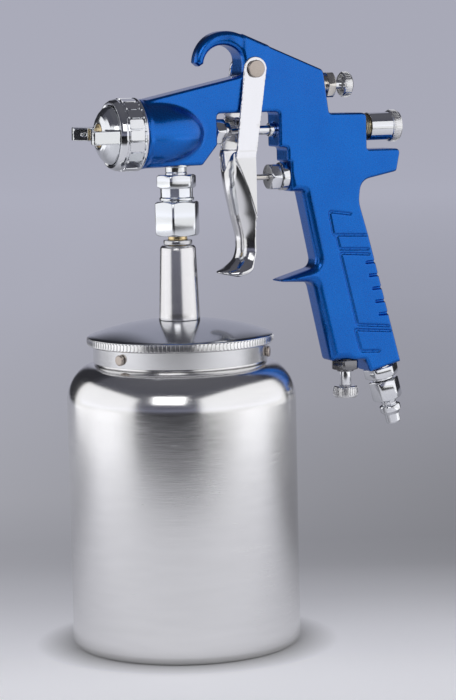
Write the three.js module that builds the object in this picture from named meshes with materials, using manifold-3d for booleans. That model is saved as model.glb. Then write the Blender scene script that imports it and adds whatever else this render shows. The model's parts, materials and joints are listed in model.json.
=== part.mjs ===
// A suction-feed paint spray gun with a one-litre cup under it. Millimetres, +Z up.
// The origin is the centre of the cup's flat base. The paint leaves along -X, and the
// barrel, the trigger and the handle lie in the plane y = 0.
import * as THREE from 'three';
import { mergeVertices } from 'three/addons/utils/BufferGeometryUtils.js';
import Module from 'manifold-3d';

const wasm = await Module();
wasm.setup();

// ---- driving dimensions ------------------------------------------------------------
const gap = 0.3;                 // between two pieces that touch on the real gun
const widest = 36;               // sides of the cup and the lid
const fine = 24;                 // sides of a large round piece
const middle = 12;
const coarse = 8;                // sides of a small one

const cupRadius = 55;            // outside of the cup's wall
const cupWallTop = 118;          // where the straight wall turns into the shoulder
const cupNeckTop = 145;
const cupWall = 1.4;
const cupBaseCorner = 4;
const skirtRadius = 41.8;        // outside of the lid's plain band
const skirtWall = 1.5;
const skirtHeight = 8;
const flangeRadius = 44.8;       // outside of the lid's knurled rim
const flangeHeight = 4.3;
const domeRise = 7.6;
const lidThickness = 2;
const pinRadius = 2.5;           // bayonet pins through the skirt
const pinProud = 1.8;
const firstPin = -34;            // degrees round from +X

const postTopRadius = 8.55;      // tube that carries the gun above the lid
const postBaseRadius = 9.9;
const postTop = 192.3;
const tubeRadius = 4;            // pick-up tube
const tubeFoot = 9;              // height of the strainer's mouth above the base

const barrelHeight = 245.5;      // axis of the nozzle, the needle and the fluid knob
const barrelRadius = 16;
const bodyThickness = 15;        // of the flat casting
const hookThickness = 10.4;
const bodyFront = -19.4;         // face that the air cap's ring stops at
const bodyRear = 98;             // face that the fluid knob screws into
const gapFront = 18.9;           // opening of the casting that the trigger works in
const gapRear = 51.2;
const needleRadius = 1.25;
const sleeveRadius = 2.3;        // thick part of the needle behind the trigger
const nozzleRadius = 5.5;        // front of the fluid nozzle
const ringRadius = 17.3;
const ringFlutes = 24;
const capRadius = 13.8;
const hornReach = 15.1;          // outside of the air horns, from the axis
const hornHeight = 6.3;
const hornTip = -47;
const capTurnAtRest = 3.3;       // degrees that the cap sits turned from level

const pivot = new THREE.Vector2(38.4, 275);      // the trigger's pin, in x and z
const armWall = 1.2;
const armRoom = 0.4;             // between the casting and each arm of the trigger, at the pin
const armInside = bodyThickness / 2 + armRoom;
const armOutside = armInside + armWall;
const armSplay = 2;              // degrees that each arm leans outwards
const fingerHalfWidth = armInside + 2.5;   // where the arms have leant out to, lower down
const airValveHeight = 222.9;
const spindleRadius = 1.4;
const stopTravelBore = 5.4;      // radius of the needle spring's chamber

const patternHeight = 266.3;     // axis of the pattern valve at the back of the head
const adjustX = 87.5;            // axis of the air adjusting valve under the handle
const handleFoot = 131.6;
const inletCentre = new THREE.Vector3(106.4, 0, 127.2);
const inletLean = 14.5;          // degrees that the air inlet leans back
const inletPad = 17.3;           // width of the face that the inlet screws into
const knobRadius = 6.2;
const knobFlutes = 16;

// ---- solids --------------------------------------------------------------------------
// A closed three.js geometry as a solid for joins and cuts.
function solid(geometry) {
  const loose = geometry.index ? geometry.toNonIndexed() : geometry;
  const bare = new THREE.BufferGeometry().setAttribute('position', loose.getAttribute('position'));
  const merged = mergeVertices(bare, 1e-4);
  const index = merged.index.array;
  const kept = [];
  for (let i = 0; i < index.length; i += 3) {
    const [a, b, c] = [index[i], index[i + 1], index[i + 2]];
    if (a !== b && b !== c && c !== a) kept.push(a, b, c);
  }
  const make = (triVerts) => new wasm.Manifold(new wasm.Mesh({
    numProp: 3, vertProperties: merged.attributes.position.array, triVerts: new Uint32Array(triVerts),
  }));
  const made = make(kept);
  return made.volume() > 0 ? made : make(kept.reverse());
}

const join = (first, ...rest) => rest.reduce((whole, part) => whole.add(part), first);
const cut = (first, ...rest) => rest.reduce((whole, part) => whole.subtract(part), first);

// A solid as a geometry with flat faces.
function geometryOf(whole) {
  const mesh = whole.getMesh();
  const geometry = new THREE.BufferGeometry();
  geometry.setAttribute('position', new THREE.BufferAttribute(new Float32Array(mesh.vertProperties), 3));
  geometry.setIndex(Array.from(mesh.triVerts));
  const flat = geometry.toNonIndexed();
  flat.computeVertexNormals();
  return flat;
}

// A turned piece about +Z. The profile is a list of [radius, height] and closes on the axis
// or, for a ring, on itself.
function turned(profile, sides = fine) {
  const points = profile.map(([radius, height]) => new THREE.Vector2(radius, height));
  return new THREE.LatheGeometry(points, sides).rotateX(Math.PI / 2);
}

const rod = (radius, from, to, sides = coarse) =>
  turned([[0, from], [radius, from], [radius, to], [0, to]], sides);
const pipe = (outer, inner, from, to, sides = coarse) =>
  turned([[inner, from], [outer, from], [outer, to], [inner, to], [inner, from]], sides);

// Points of an outline whose corners [x, y, radius] are rounded by arcs.
function rounded(corners, steps = 3) {
  const points = [];
  corners.forEach(([x, y, radius], i) => {
    const corner = new THREE.Vector2(x, y);
    if (!radius) {
      points.push(corner);
      return;
    }
    const before = corners[(i + corners.length - 1) % corners.length];
    const after = corners[(i + 1) % corners.length];
    const back = new THREE.Vector2(before[0], before[1]).sub(corner);
    const on = new THREE.Vector2(after[0], after[1]).sub(corner);
    const half = Math.acos(back.clone().normalize().dot(on.clone().normalize())) / 2;
    const reach = Math.min(radius / Math.tan(half), 0.45 * Math.min(back.length(), on.length()));
    const start = corner.clone().addScaledVector(back.clone().normalize(), reach);
    const end = corner.clone().addScaledVector(on.clone().normalize(), reach);
    const curve = new THREE.QuadraticBezierCurve(start, corner, end);
    points.push(...curve.getPoints(steps));
  });
  return points;
}

const arc = (x, y, radius, from, to, steps) =>
  new THREE.ArcCurve(x, y, radius, from, to, from > to).getPoints(steps);

// A plate in the plane y = 0, from points in x and z, with its thickness about that plane.
function plate(points, thickness, offset = 0) {
  return new THREE.ExtrudeGeometry(new THREE.Shape(points), { depth: thickness, bevelEnabled: false })
    .translate(0, 0, -thickness / 2).rotateX(Math.PI / 2).translate(0, offset, 0);
}

// A hexagonal bar about +Z, across the flats, with its corners bevelled at both ends.
function hexBar(acrossFlats, from, to, bevel = 0.9) {
  const corner = acrossFlats / Math.sqrt(3);
  const points = Array.from({ length: 6 }, (_, i) => new THREE.Vector2(
    corner * Math.cos((i * Math.PI) / 3), corner * Math.sin((i * Math.PI) / 3)));
  const bar = new THREE.ExtrudeGeometry(new THREE.Shape(points), { depth: to - from, bevelEnabled: false })
    .translate(0, 0, from);
  const round = turned([[0, from], [corner - bevel, from], [corner, from + bevel * 0.6],
    [corner, to - bevel * 0.6], [corner - bevel, to], [0, to]], middle);
  return solid(bar).intersect(solid(round));
}

// A round bar about +Z with straight flutes, as on a knurled knob.
function fluted(radius, from, to, flutes, depth) {
  const points = [];
  for (let i = 0; i < flutes * 2; i += 1) {
    const angle = (i * Math.PI) / flutes;
    const reach = i % 2 ? radius - depth : radius;
    points.push(new THREE.Vector2(reach * Math.cos(angle), reach * Math.sin(angle)));
  }
  return solid(new THREE.ExtrudeGeometry(new THREE.Shape(points), { depth: to - from, bevelEnabled: false })
    .translate(0, 0, from));
}

// A coil spring about +Z.
function spring(radius, wire, from, to, turns) {
  const steps = turns * 8;
  const points = Array.from({ length: steps + 1 }, (_, i) => {
    const share = i / steps;
    const angle = share * turns * 2 * Math.PI;
    return new THREE.Vector3(radius * Math.cos(angle), radius * Math.sin(angle),
      from + wire + share * (to - from - 2 * wire));
  });
  const section = new THREE.Shape(new THREE.ArcCurve(0, 0, wire, 0, 2 * Math.PI).getPoints(4).slice(1));
  const path = new THREE.CatmullRomCurve3(points);
  return solid(new THREE.ExtrudeGeometry(section, { steps, extrudePath: path }));
}

// ---- frames of the sub-assemblies -----------------------------------------------------
const gun = new THREE.Group();

// A group whose +Z lies along a direction of the gun.
function axisGroup(position, direction) {
  const group = new THREE.Group();
  group.position.copy(position);
  group.quaternion.setFromUnitVectors(new THREE.Vector3(0, 0, 1), direction.clone().normalize());
  group.updateMatrix();
  gun.add(group);
  return group;
}

const rearwards = new THREE.Vector3(1, 0, 0);
const lean = THREE.MathUtils.degToRad(inletLean);
const upright = axisGroup(new THREE.Vector3(), new THREE.Vector3(0, 0, 1));
const barrel = axisGroup(new THREE.Vector3(0, 0, barrelHeight), rearwards);
const airValve = axisGroup(new THREE.Vector3(0, 0, airValveHeight), rearwards);
const patternValve = axisGroup(new THREE.Vector3(0, 0, patternHeight), rearwards);
const adjustValve = axisGroup(new THREE.Vector3(adjustX, 0, handleFoot), new THREE.Vector3(0, 0, -1));
const inlet = axisGroup(inletCentre, new THREE.Vector3(Math.sin(lean), 0, -Math.cos(lean)));
const pin = axisGroup(new THREE.Vector3(pivot.x, 0, pivot.y), new THREE.Vector3(0, 1, 0));

// A geometry of a sub-assembly, moved to where it lies on the gun.
const placed = (group, geometry) => solid(geometry.clone().applyMatrix4(group.matrix));

// ---- materials -------------------------------------------------------------------------
const finish = (color, roughness, metalness) => new THREE.MeshStandardMaterial({ color, roughness, metalness });
const finishes = {
  bluePaint: () => finish(0x1458b8, 0.35, 0.4),
  chrome: () => finish(0xd8dade, 0.12, 1),
  satinAluminium: () => finish(0xb4b6ba, 0.4, 1),
  polishedAluminium: () => finish(0xc8cace, 0.18, 1),
  brass: () => finish(0xc8a45c, 0.3, 1),
  steel: () => finish(0x9a9ca0, 0.3, 1),
  blackSteel: () => finish(0x2c2e30, 0.45, 0.8),
  seal: () => finish(0x222222, 0.8, 0),
};

function add(group, name, whole, material) {
  const mesh = new THREE.Mesh(geometryOf(whole), material());
  mesh.name = name;
  group.add(mesh);
}

// ---- casting -----------------------------------------------------------------------------
const spigotFront = bodyFront - 6;
const spigotRadius = 15;
const nozzleThread = 8.8;
const hookCentre = new THREE.Vector2(25.3, 277.7);
const hookOuter = 15.5;
const holeCentre = new THREE.Vector2(23.8, 276.9);
const holeRadius = 9.6;
const crownSlope = THREE.MathUtils.degToRad(22.7);   // fall of the straight top edge to the rear
const crown = (x) => hookCentre.y + hookOuter / Math.cos(crownSlope)
  - (x - hookCentre.x) * Math.tan(crownSlope);
const wallX = holeCentre.x + holeRadius;             // rear wall of the hook's hole

function mainPlate() {
  const underside = barrelHeight - barrelRadius + 0.5;
  const pad = new THREE.Vector2(Math.cos(lean), Math.sin(lean)).multiplyScalar(inletPad / 2);
  const [padX, padZ] = [inletCentre.x, inletCentre.z];
  return plate(rounded([
    [bodyFront + 2.4, underside, 0], [bodyFront + 2.4, barrelHeight + barrelRadius, 0],
    [wallX, 272, 5], [wallX, crown(wallX), 0], [75, crown(75), 3],
    [77.9, 252.8, 1.5], [bodyRear, 252.5, 3], [bodyRear, 234.7, 1],
    [bodyRear + 18.3, 234.5, 2.5], [bodyRear + 16, 223.4, 2], [94.5, 219.6, 9],
    [93.3, 209, 14], [98.1, 192.7, 12], [padX + pad.x, padZ + pad.y, 0.6], [padX - pad.x, padZ - pad.y, 1],
    [95.4, handleFoot, 0.8], [77.3, handleFoot, 2], [68.6, 171, 4],
    [48, 172.1, 1], [71.2, 178.6, 5], [63.6, 215.4, 1.5], [57, 215.6, 1.5],
    [57, 230, 0.8], [55.5, 230.3, 0.6], [55.5, 237, 2], [gapRear, 237.3, 0.8],
    [gapRear, 254.2, 2], [gapFront, 254.2, 2], [gapFront, 239.4, 2], [11, underside, 2],
  ]), bodyThickness);
}

function hookPlate() {
  const tipAngle = Math.PI * 0.985;
  const crownAngle = Math.PI / 2 - crownSlope;
  const outer = arc(hookCentre.x, hookCentre.y, hookOuter, tipAngle, crownAngle, 12);
  const inner = arc(holeCentre.x, holeCentre.y, holeRadius, 0, Math.PI * 0.97, 10);
  const tip = outer[0].clone().add(inner[10]).multiplyScalar(0.5).add(new THREE.Vector2(0, -1.6));
  const shank = [new THREE.Vector2(46, crown(46)), new THREE.Vector2(46, 271), new THREE.Vector2(wallX, 271)];
  return plate([...outer, ...shank, ...inner, tip], hookThickness);
}

function bullet() {
  const start = bodyFront + 7.4;
  const length = 27;
  const curve = Array.from({ length: 9 }, (_, i) => {
    const angle = (i * Math.PI) / 16;
    return [barrelRadius * Math.cos(angle), start + length * Math.sin(angle)];
  });
  curve[8][0] = 0;
  return turned([[0, bodyFront], [barrelRadius + 0.2, bodyFront], ...curve]);
}

const airChamberEnd = 88;
const chamberEnd = 62;           // front of the needle spring's chamber
const inletBore = 3.4;

function casting() {
  const whole = join(solid(mainPlate()), solid(hookPlate()), placed(barrel, bullet()),
    placed(barrel, rod(spigotRadius, spigotFront, bodyFront + 1, fine)));
  const lengthUp = (airValveHeight - inletCentre.z) / Math.cos(lean);
  return cut(whole,
    placed(barrel, rod(nozzleThread, spigotFront - 1, -9, middle)),
    placed(barrel, rod(4, -10, 8, coarse)),
    placed(barrel, rod(5, 7, gapFront + 1, coarse)),
    placed(barrel, rod(3.6, gapRear - 1, 56, coarse)),
    placed(barrel, rod(2.7, 55, 63, coarse)),
    placed(barrel, rod(stopTravelBore, chamberEnd, 86, coarse)),
    placed(barrel, rod(6.2, 85, bodyRear + 1, middle)),
    placed(upright, rod(6.8, barrelHeight - barrelRadius - 1, barrelHeight - 6.5, middle)),
    placed(upright, rod(2.6, barrelHeight - 8, barrelHeight, coarse)),
    placed(barrel, rod(1.7, spigotFront - 1, 76).translate(-11.8, 0, 0)),
    placed(airValve, rod(5.3, 56, airChamberEnd, coarse)),
    placed(upright, rod(2.6, airValveHeight, barrelHeight + 12).translate(68, 0, 0)),
    placed(patternValve, rod(4.8, 61, 80, middle)),
    placed(upright, rod(2, barrelHeight + 11, patternHeight).translate(66, 0, 0)),
    placed(adjustValve, rod(4.8, -16, 1, middle)),
    placed(adjustValve, rod(2, -14, 0).rotateY(Math.PI / 2).translate(0, 0, -14)),
    placed(inlet, rod(6.4, -12, 1, middle)),
    placed(inlet, rod(inletBore, -lengthUp - 2, 0)),
    placed(pin, rod(2.5 + gap, -bodyThickness, bodyThickness, coarse)),
  );
}

add(upright, 'gun_body', casting(), finishes.bluePaint);

// ---- spray head ------------------------------------------------------------------------------
const nozzleFlange = 12.5;
const capFace = -39;

add(barrel, 'fluid_nozzle', cut(
  solid(turned([[0, capFace], [nozzleRadius, capFace], [nozzleRadius + 0.6, capFace + 3], [9, -31],
    [nozzleFlange, -29.6], [nozzleFlange, spigotFront - 1.6], [nozzleThread - gap, spigotFront - 1.6],
    [nozzleThread - gap, -9.6], [0, -9.6]])),
  solid(turned([[0, capFace - 1], [0.9, capFace - 1], [0.9, capFace + 1.5], [4, capFace + 8],
    [4, -9], [0, -9]], coarse))), finishes.brass);

add(barrel, 'nozzle_gasket',
  solid(pipe(nozzleFlange, nozzleThread, spigotFront - 1.3, spigotFront - gap, fine)), finishes.seal);

function airCap() {
  const dome = solid(turned([[0, capFace], [nozzleRadius + 1.6, capFace], [8.4, capFace + 0.7],
    [11.4, capFace + 2.5], [capRadius, capFace + 5], [capRadius, -30.6], [15, -30.6], [15, -28.4], [0, -28.4]]));
  const hollow = solid(turned([[0, capFace - 1], [nozzleRadius + gap, capFace - 1],
    [nozzleRadius + gap, capFace + 1.2], [nozzleRadius + 1, capFace + 3.4], [9.6, -31.4],
    [12.9, -30], [12.9, -27], [0, -27]]));
  const horn = (side) => {
    const outline = new THREE.Shape(rounded([[hornTip, 11.5, 0.3], [hornTip, hornReach - 1, 0.3],
      [hornTip + 2, hornReach, 0.4], [-33.6, hornReach, 0], [-33.6, 13, 0], [-35.5, 8, 0],
      [-38.5, 8, 0.6]], 3).map((p) => new THREE.Vector2(p.x, p.y * side)));
    const block = new THREE.ExtrudeGeometry(outline, { depth: hornHeight, bevelEnabled: false })
      .translate(0, 0, -hornHeight / 2);
    return solid(block.rotateY(-Math.PI / 2));
  };
  const jet = (side) => solid(rod(0.8, 8, 13.3).rotateX(-side * Math.PI / 2)
    .translate(0, 0, hornTip + 4.5));
  return cut(join(cut(dome, hollow), horn(1), horn(-1)), jet(1), jet(-1));
}

const capSeat = new THREE.Group();
capSeat.rotation.z = THREE.MathUtils.degToRad(capTurnAtRest);
barrel.add(capSeat);
add(capSeat, 'air_cap', airCap(), finishes.chrome);

add(barrel, 'air_cap_ring', cut(
  join(fluted(ringRadius, -29.4, -21.6, ringFlutes, 0.5),
    solid(turned([[0, -33.2], [14.9, -33.2], [16.2, -32.4], [16.9, -30.8], [16.9, -29.3], [0, -29.3]])),
    solid(turned([[0, -21.7], [ringRadius, -21.7], [ringRadius, -20.2], [16.8, bodyFront - gap],
      [0, bodyFront - gap]]))),
  solid(rod(spigotRadius + gap, -31, bodyFront + 1, fine)),
  solid(rod(capRadius + gap, -34, -30, fine))), finishes.chrome);

// ---- needle --------------------------------------------------------------------------------------
const collarFront = 38.9;
const shoulder = 64;
const plungerFace = 90;

add(barrel, 'fluid_needle', solid(turned([[0, capFace + 0.6], [0.6, capFace + 2.2], [needleRadius, capFace + 6],
  [needleRadius, collarFront], [3.4, collarFront], [4.2, collarFront + 0.8], [4.2, collarFront + 2.6],
  [sleeveRadius, collarFront + 2.6], [sleeveRadius, shoulder], [4.6, shoulder], [4.6, shoulder + 2],
  [needleRadius, shoulder + 2], [needleRadius, plungerFace - 6.8], [0, plungerFace - 6.8]], coarse)),
finishes.steel);

add(barrel, 'needle_packing', solid(pipe(5 - gap, needleRadius + gap, 8.3, 12, coarse)), finishes.seal);
add(barrel, 'needle_packing_nut', cut(
  join(solid(rod(5 - gap, 12.3, gapFront + 1)), hexBar(12, gapFront + gap, gapFront + 5.5),
    solid(rod(4.2, gapFront + 5, gapFront + 8.6))),
  solid(rod(needleRadius + gap, 10, 40))), finishes.chrome);
add(barrel, 'needle_guide_bush', solid(pipe(3.3, sleeveRadius + gap, gapRear - 2.9, 55.7)), finishes.steel);
add(barrel, 'needle_spring', spring(3.2, 0.55, shoulder + 2.2, plungerFace - gap, 6), finishes.steel);

// ---- fluid knob: it screws along a hollow stud, and its plunger is the needle's stop -------------
const sleeveFront = 101.2;
const knobEnd = 117.5;

add(barrel, 'fluid_stud', cut(
  join(solid(rod(5.9, 85.5, 112.2, middle)), solid(rod(6.1, bodyRear + gap, sleeveFront - gap, middle))),
  solid(rod(4.1, 85, 113))), finishes.brass);
add(barrel, 'fluid_knob', cut(
  join(solid(rod(6.8, sleeveFront, 113.4, fine)), fluted(7.9, 112.9, knobEnd - 0.6, 20, 0.4),
    solid(rod(7.2, 113, knobEnd, fine))),
  solid(rod(6.2, sleeveFront - 1, 114.6, middle)), solid(rod(2, 114, knobEnd - 1.2))), finishes.satinAluminium);
add(barrel, 'needle_stop', solid(turned([[0, plungerFace], [3.7, plungerFace], [3.7, 114.2],
  [1.7, 114.2], [1.7, 116], [0, 116]], coarse)), finishes.steel);

// ---- trigger ---------------------------------------------------------------------------------------
const webWall = 1.5;
const fingerTop = 233;

function triggerArm(side) {
  const rim = arc(pivot.x, pivot.y, 5.8, 0, Math.PI, 12);
  const points = [...rim, new THREE.Vector2(27.3, 236), new THREE.Vector2(27.2, fingerTop - 4),
    new THREE.Vector2(37.2, fingerTop - 4), new THREE.Vector2(38.2, 237)];
  const arm = plate(points, armWall, side * (armInside + armWall / 2));
  arm.translate(0, 0, -pivot.y).rotateX(side * THREE.MathUtils.degToRad(armSplay)).translate(0, 0, pivot.y);
  return solid(arm);
}

// The finger grip is a channel with a rounded front, open to the rear, whose foot curls forwards.
function fingerGrip() {
  const front = (inset) => [[24.4 + inset, fingerTop], [24.6 + inset, 223], [27.6 + inset, 206],
    [30.4 + inset, 192]];
  const toPoints = (list) => new THREE.SplineCurve(list.map(([x, z]) => new THREE.Vector2(x, z))).getPoints(8);
  const side = plate([...toPoints(front(0)),
    ...toPoints([[30.4, 188], [28.4, 183.4], [24.6, 180.6], [20.6, 178.4]]),
    ...toPoints([[20.8, 177.4], [28, 175.9], [34.4, 178.6], [37.4, 187]]),
    new THREE.Vector2(37.5, 205), new THREE.Vector2(37.2, fingerTop)], 2 * fingerHalfWidth);
  const room = plate([...toPoints(front(webWall)), new THREE.Vector2(31.6, 186),
    new THREE.Vector2(34, 181.5), new THREE.Vector2(50, 181.5), new THREE.Vector2(50, fingerTop + 1),
    new THREE.Vector2(24.4 + webWall, fingerTop + 1)], 40);
  const plan = (inset) => {
    const reach = 13 - inset;
    const half = fingerHalfWidth - inset;
    const nose = new THREE.EllipseCurve(24.2 + 13, 0, reach, half, Math.PI / 2, 1.5 * Math.PI).getPoints(14);
    return new THREE.ExtrudeGeometry(new THREE.Shape([...nose, new THREE.Vector2(60, -half),
      new THREE.Vector2(60, half)]), { depth: 80, bevelEnabled: false }).translate(0, 0, 165);
  };
  const foot = new THREE.BoxGeometry(30, 2 * fingerHalfWidth - 3, 12).translate(24, 0, 179);
  const curled = solid(side).intersect(join(solid(plan(0)), solid(foot)));
  return cut(curled, solid(room).intersect(solid(plan(webWall))));
}

function trigger() {
  const pusherX = 36;
  const pusher = new THREE.BoxGeometry(webWall, 2 * (armInside + 1.6), 12).translate(pusherX, 0, barrelHeight);
  const needleHole = placed(barrel, rod(2.9, pusherX - 4, pusherX + 4));
  const pinHole = placed(pin, rod(2.5 + gap, -15, 15));
  return cut(join(triggerArm(1), triggerArm(-1), fingerGrip(), cut(solid(pusher), needleHole)), pinHole);
}

add(upright, 'trigger', trigger(), finishes.polishedAluminium);
const headFoot = armOutside + 0.5;
add(pin, 'trigger_pin', solid(turned([[0, -headFoot - 1.3], [3.9, -headFoot - 1.3], [4.15, -headFoot - 1],
  [4.15, -headFoot], [2.5, -headFoot], [2.5, armOutside + gap], [0, armOutside + gap]], middle)), finishes.brass);
add(pin, 'trigger_pin_screw', cut(solid(turned([[0, headFoot + 0.1], [3.6, headFoot + 0.1], [3.6, headFoot + 1.3],
  [3, headFoot + 1.7], [0, headFoot + 1.7]], middle)),
  solid(new THREE.BoxGeometry(0.9, 8, 1.2).translate(0, 0, 11.4))), finishes.steel);

// ---- air valve behind the trigger --------------------------------------------------------------------
const valveSeat = 66;

add(airValve, 'air_valve_packing_nut', cut(hexBar(12, 47.6, 53),
  solid(rod(spindleRadius + gap, 40, 60))), finishes.chrome);
add(airValve, 'air_valve_housing', cut(
  join(solid(rod(6.8, 53.3, 57 - gap, fine)), solid(rod(5, 56, valveSeat - gap, coarse))),
  solid(rod(spindleRadius + gap, 50, 62)), solid(rod(3.6, 60, valveSeat + 1))), finishes.chrome);
add(airValve, 'air_valve_packing', solid(pipe(3.3, spindleRadius + gap, 60.3, 63)), finishes.seal);
add(airValve, 'air_valve_seat', solid(pipe(5, 2.6, valveSeat, valveSeat + 1.6)), finishes.seal);
add(airValve, 'air_valve_spindle', solid(turned([[0, 26.9], [0.8, 27.1], [spindleRadius, 27.9],
  [spindleRadius, valveSeat + 1.9], [4.4, valveSeat + 1.9], [4.4, valveSeat + 3.6],
  [1.4, valveSeat + 3.6], [1.4, valveSeat + 6], [0, valveSeat + 6]], coarse)), finishes.brass);
add(airValve, 'air_valve_spring', spring(3, 0.45, valveSeat + 3.9, airChamberEnd - gap, 5), finishes.steel);

// ---- screw valves: a housing in the casting, a stem with a thread, an O-ring and a knob ----------------
function screwValve(group, name, dims, knobFinish) {
  const { hexFrom, hexTo, flats, boreFrom, stem, knobFrom, knobTo, bush } = dims;
  add(group, `${name}_housing`, cut(
    join(hexBar(flats, hexFrom, hexTo), solid(rod(4.5, boreFrom, hexFrom + 0.5, middle)),
      solid(rod(bush, hexTo - 0.5, hexTo + 1, middle))),
    solid(rod(stem + gap, boreFrom - 1, hexTo + 2, middle))), dims.housingFinish);
  add(group, `${name}_stem`, cut(solid(turned([[0, boreFrom - 3], [stem - 1, boreFrom], [stem, boreFrom + 0.6],
    [stem, knobFrom - gap], [0, knobFrom - gap]], middle)),
  solid(pipe(stem + 1, stem - 0.8, hexFrom - 1.4, hexFrom + 0.4, middle))), finishes.chrome);
  add(group, `${name}_o_ring`, solid(pipe(stem - 0.02, stem - 0.6, hexFrom - 1.1, hexFrom + 0.1, middle)),
    finishes.seal);
  add(group, `${name}_knob`, join(fluted(knobRadius, knobFrom, knobTo - 0.5, knobFlutes, 0.35),
    solid(turned([[0, knobFrom], [knobRadius - 0.5, knobFrom], [knobRadius - 0.5, knobTo - 0.4],
      [knobRadius - 1.1, knobTo], [0, knobTo]], fine))), knobFinish);
}

screwValve(patternValve, 'pattern_valve', { hexFrom: 78.4, hexTo: 82.4, flats: 12, boreFrom: 68, stem: 2.3,
  knobFrom: 87.4, knobTo: 92, bush: 3, housingFinish: finishes.chrome }, finishes.satinAluminium);
screwValve(adjustValve, 'air_adjuster', { hexFrom: gap, hexTo: 5, flats: 12.6, boreFrom: -10, stem: 2.9,
  knobFrom: 13.2, knobTo: 19, bush: 4.2, housingFinish: finishes.blackSteel }, finishes.satinAluminium);

// ---- air inlet ----------------------------------------------------------------------------------------
add(inlet, 'air_inlet_fitting', cut(
  join(hexBar(15.4, gap, 5.6), solid(rod(6.1, -11, 0.6, middle)), solid(rod(5.4, 5.4, 7, middle))),
  solid(rod(3, -12, 8))), finishes.chrome);
add(inlet, 'quick_plug', cut(
  join(hexBar(13.4, 7.3, 17.4, 0.7), solid(turned([[0, 17], [5.6, 17], [3.6, 18.6], [3.6, 20], [5.3, 20.8],
    [5.3, 24.4], [3.7, 25.4], [3.7, 29.4], [3.4, 30], [0, 30]], middle))),
  solid(rod(2.4, 7, 31))), finishes.chrome);

// ---- fluid joint under the barrel ----------------------------------------------------------------------
const jointTop = barrelHeight - 7;
const nutTop = 213.3;
const nutFoot = 196.8;

add(upright, 'fluid_joint', cut(
  join(solid(rod(6.5, barrelHeight - barrelRadius + 1, jointTop - gap, middle)), solid(rod(5, 225.8, jointTop - 2, middle)),
    hexBar(16.8, 219.4, 226), solid(rod(7.7, 213.4, 219.8, fine)),
    solid(rod(8.3, nutTop + gap, 215, fine)), solid(rod(7.2, 206, 214, middle))),
  solid(rod(2.6, 205, jointTop + 1))), finishes.chrome);
add(upright, 'union_nut', cut(hexBar(19.4, nutFoot, nutTop, 1.4),
  solid(rod(7.2 + gap, 202, nutTop + 1, middle)), solid(rod(4.6 + gap, nutFoot - 1, 203))), finishes.chrome);
add(upright, 'fluid_tail', cut(
  join(solid(rod(4.6, 140, 203)), solid(rod(6.6, 202.3, 204.4, middle)),
    solid(turned([[0, 204.3], [6.6, 204.3], [5.6, 205.7], [0, 205.7]], middle))),
  solid(rod(2.6, 139, 207))), finishes.brass);

// ---- lid -------------------------------------------------------------------------------------------------
const skirtFoot = 137.2;
const flangeFoot = skirtFoot + skirtHeight;
const rimTop = flangeFoot + flangeHeight;
const dome = (radius) => rimTop - 0.3 + domeRise * (1 - (radius / flangeRadius) ** 2.32);
const postBase = dome(postBaseRadius);
const lidHole = 6.5;
const lidUnderside = 147.4;

function lid() {
  const radii = [1, 0.93, 0.82, 0.7, 0.56, 0.4].map((share) => share * (flangeRadius - 0.6));
  const top = radii.map((radius) => [radius, dome(radius)]);
  const under = [0.35, 0.55, 0.75, 0.88].map((share) => share * skirtRadius)
    .map((radius) => [radius, Math.max(dome(radius) - lidThickness, lidUnderside)]);
  const whole = solid(turned([[lidHole, dome(lidHole) - lidThickness], ...under,
    [skirtRadius - skirtWall, lidUnderside], [skirtRadius - skirtWall, skirtFoot], [skirtRadius, skirtFoot],
    [skirtRadius, flangeFoot], [flangeRadius, flangeFoot], [flangeRadius, rimTop - 0.6], ...top,
    [lidHole, dome(postBaseRadius)], [lidHole, dome(lidHole) - lidThickness]], widest));
  const holes = [0, 1, 2].map((i) => solid(pinAt(i, rod(1.6 + gap, 30, 50, middle))));
  const vent = solid(rod(0.9, 140, 170).translate(-26, 12, 0));
  return cut(whole, ...holes, vent);
}

// A geometry about +Z turned to point out from the lid's skirt where bayonet pin i is.
function pinAt(i, geometry) {
  const angle = THREE.MathUtils.degToRad(firstPin + 120 * i);
  return geometry.rotateY(Math.PI / 2).rotateZ(angle).translate(0, 0, skirtFoot + skirtHeight / 2);
}

add(upright, 'lid', lid(), finishes.polishedAluminium);
[0, 1, 2].forEach((i) => add(upright, `lid_pin_${i + 1}`, solid(pinAt(i, turned([
  [0, skirtRadius - skirtWall + gap], [1.6, skirtRadius - skirtWall + gap], [1.6, skirtRadius + gap],
  [pinRadius, skirtRadius + gap], [pinRadius, skirtRadius + pinProud - 0.4],
  [pinRadius - 0.6, skirtRadius + pinProud], [0, skirtRadius + pinProud]], middle))), finishes.chrome));
add(upright, 'lid_gasket', solid(pipe(skirtRadius - skirtWall - gap, 36.5, cupNeckTop + gap,
  lidUnderside - gap, fine)), finishes.seal);

add(upright, 'lid_post', cut(
  solid(turned([[0, 143], [lidHole - gap, 143], [lidHole - gap, postBase + gap], [postBaseRadius, postBase + gap],
    [postTopRadius, postTop - 1], [postTopRadius - 0.5, postTop], [0, postTop]])),
  solid(rod(4.6 + gap, 140, postTop + 1))), finishes.polishedAluminium);
add(upright, 'lid_post_nut', cut(hexBar(17, 145, dome(0) - 3.2 * lidThickness + 1.4),
  solid(rod(lidHole, 140, 170, middle))), finishes.steel);
add(upright, 'post_collar', solid(pipe(6.9, 4.6 + gap, postTop + gap, postTop + 2.6, fine)), finishes.steel);

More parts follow.
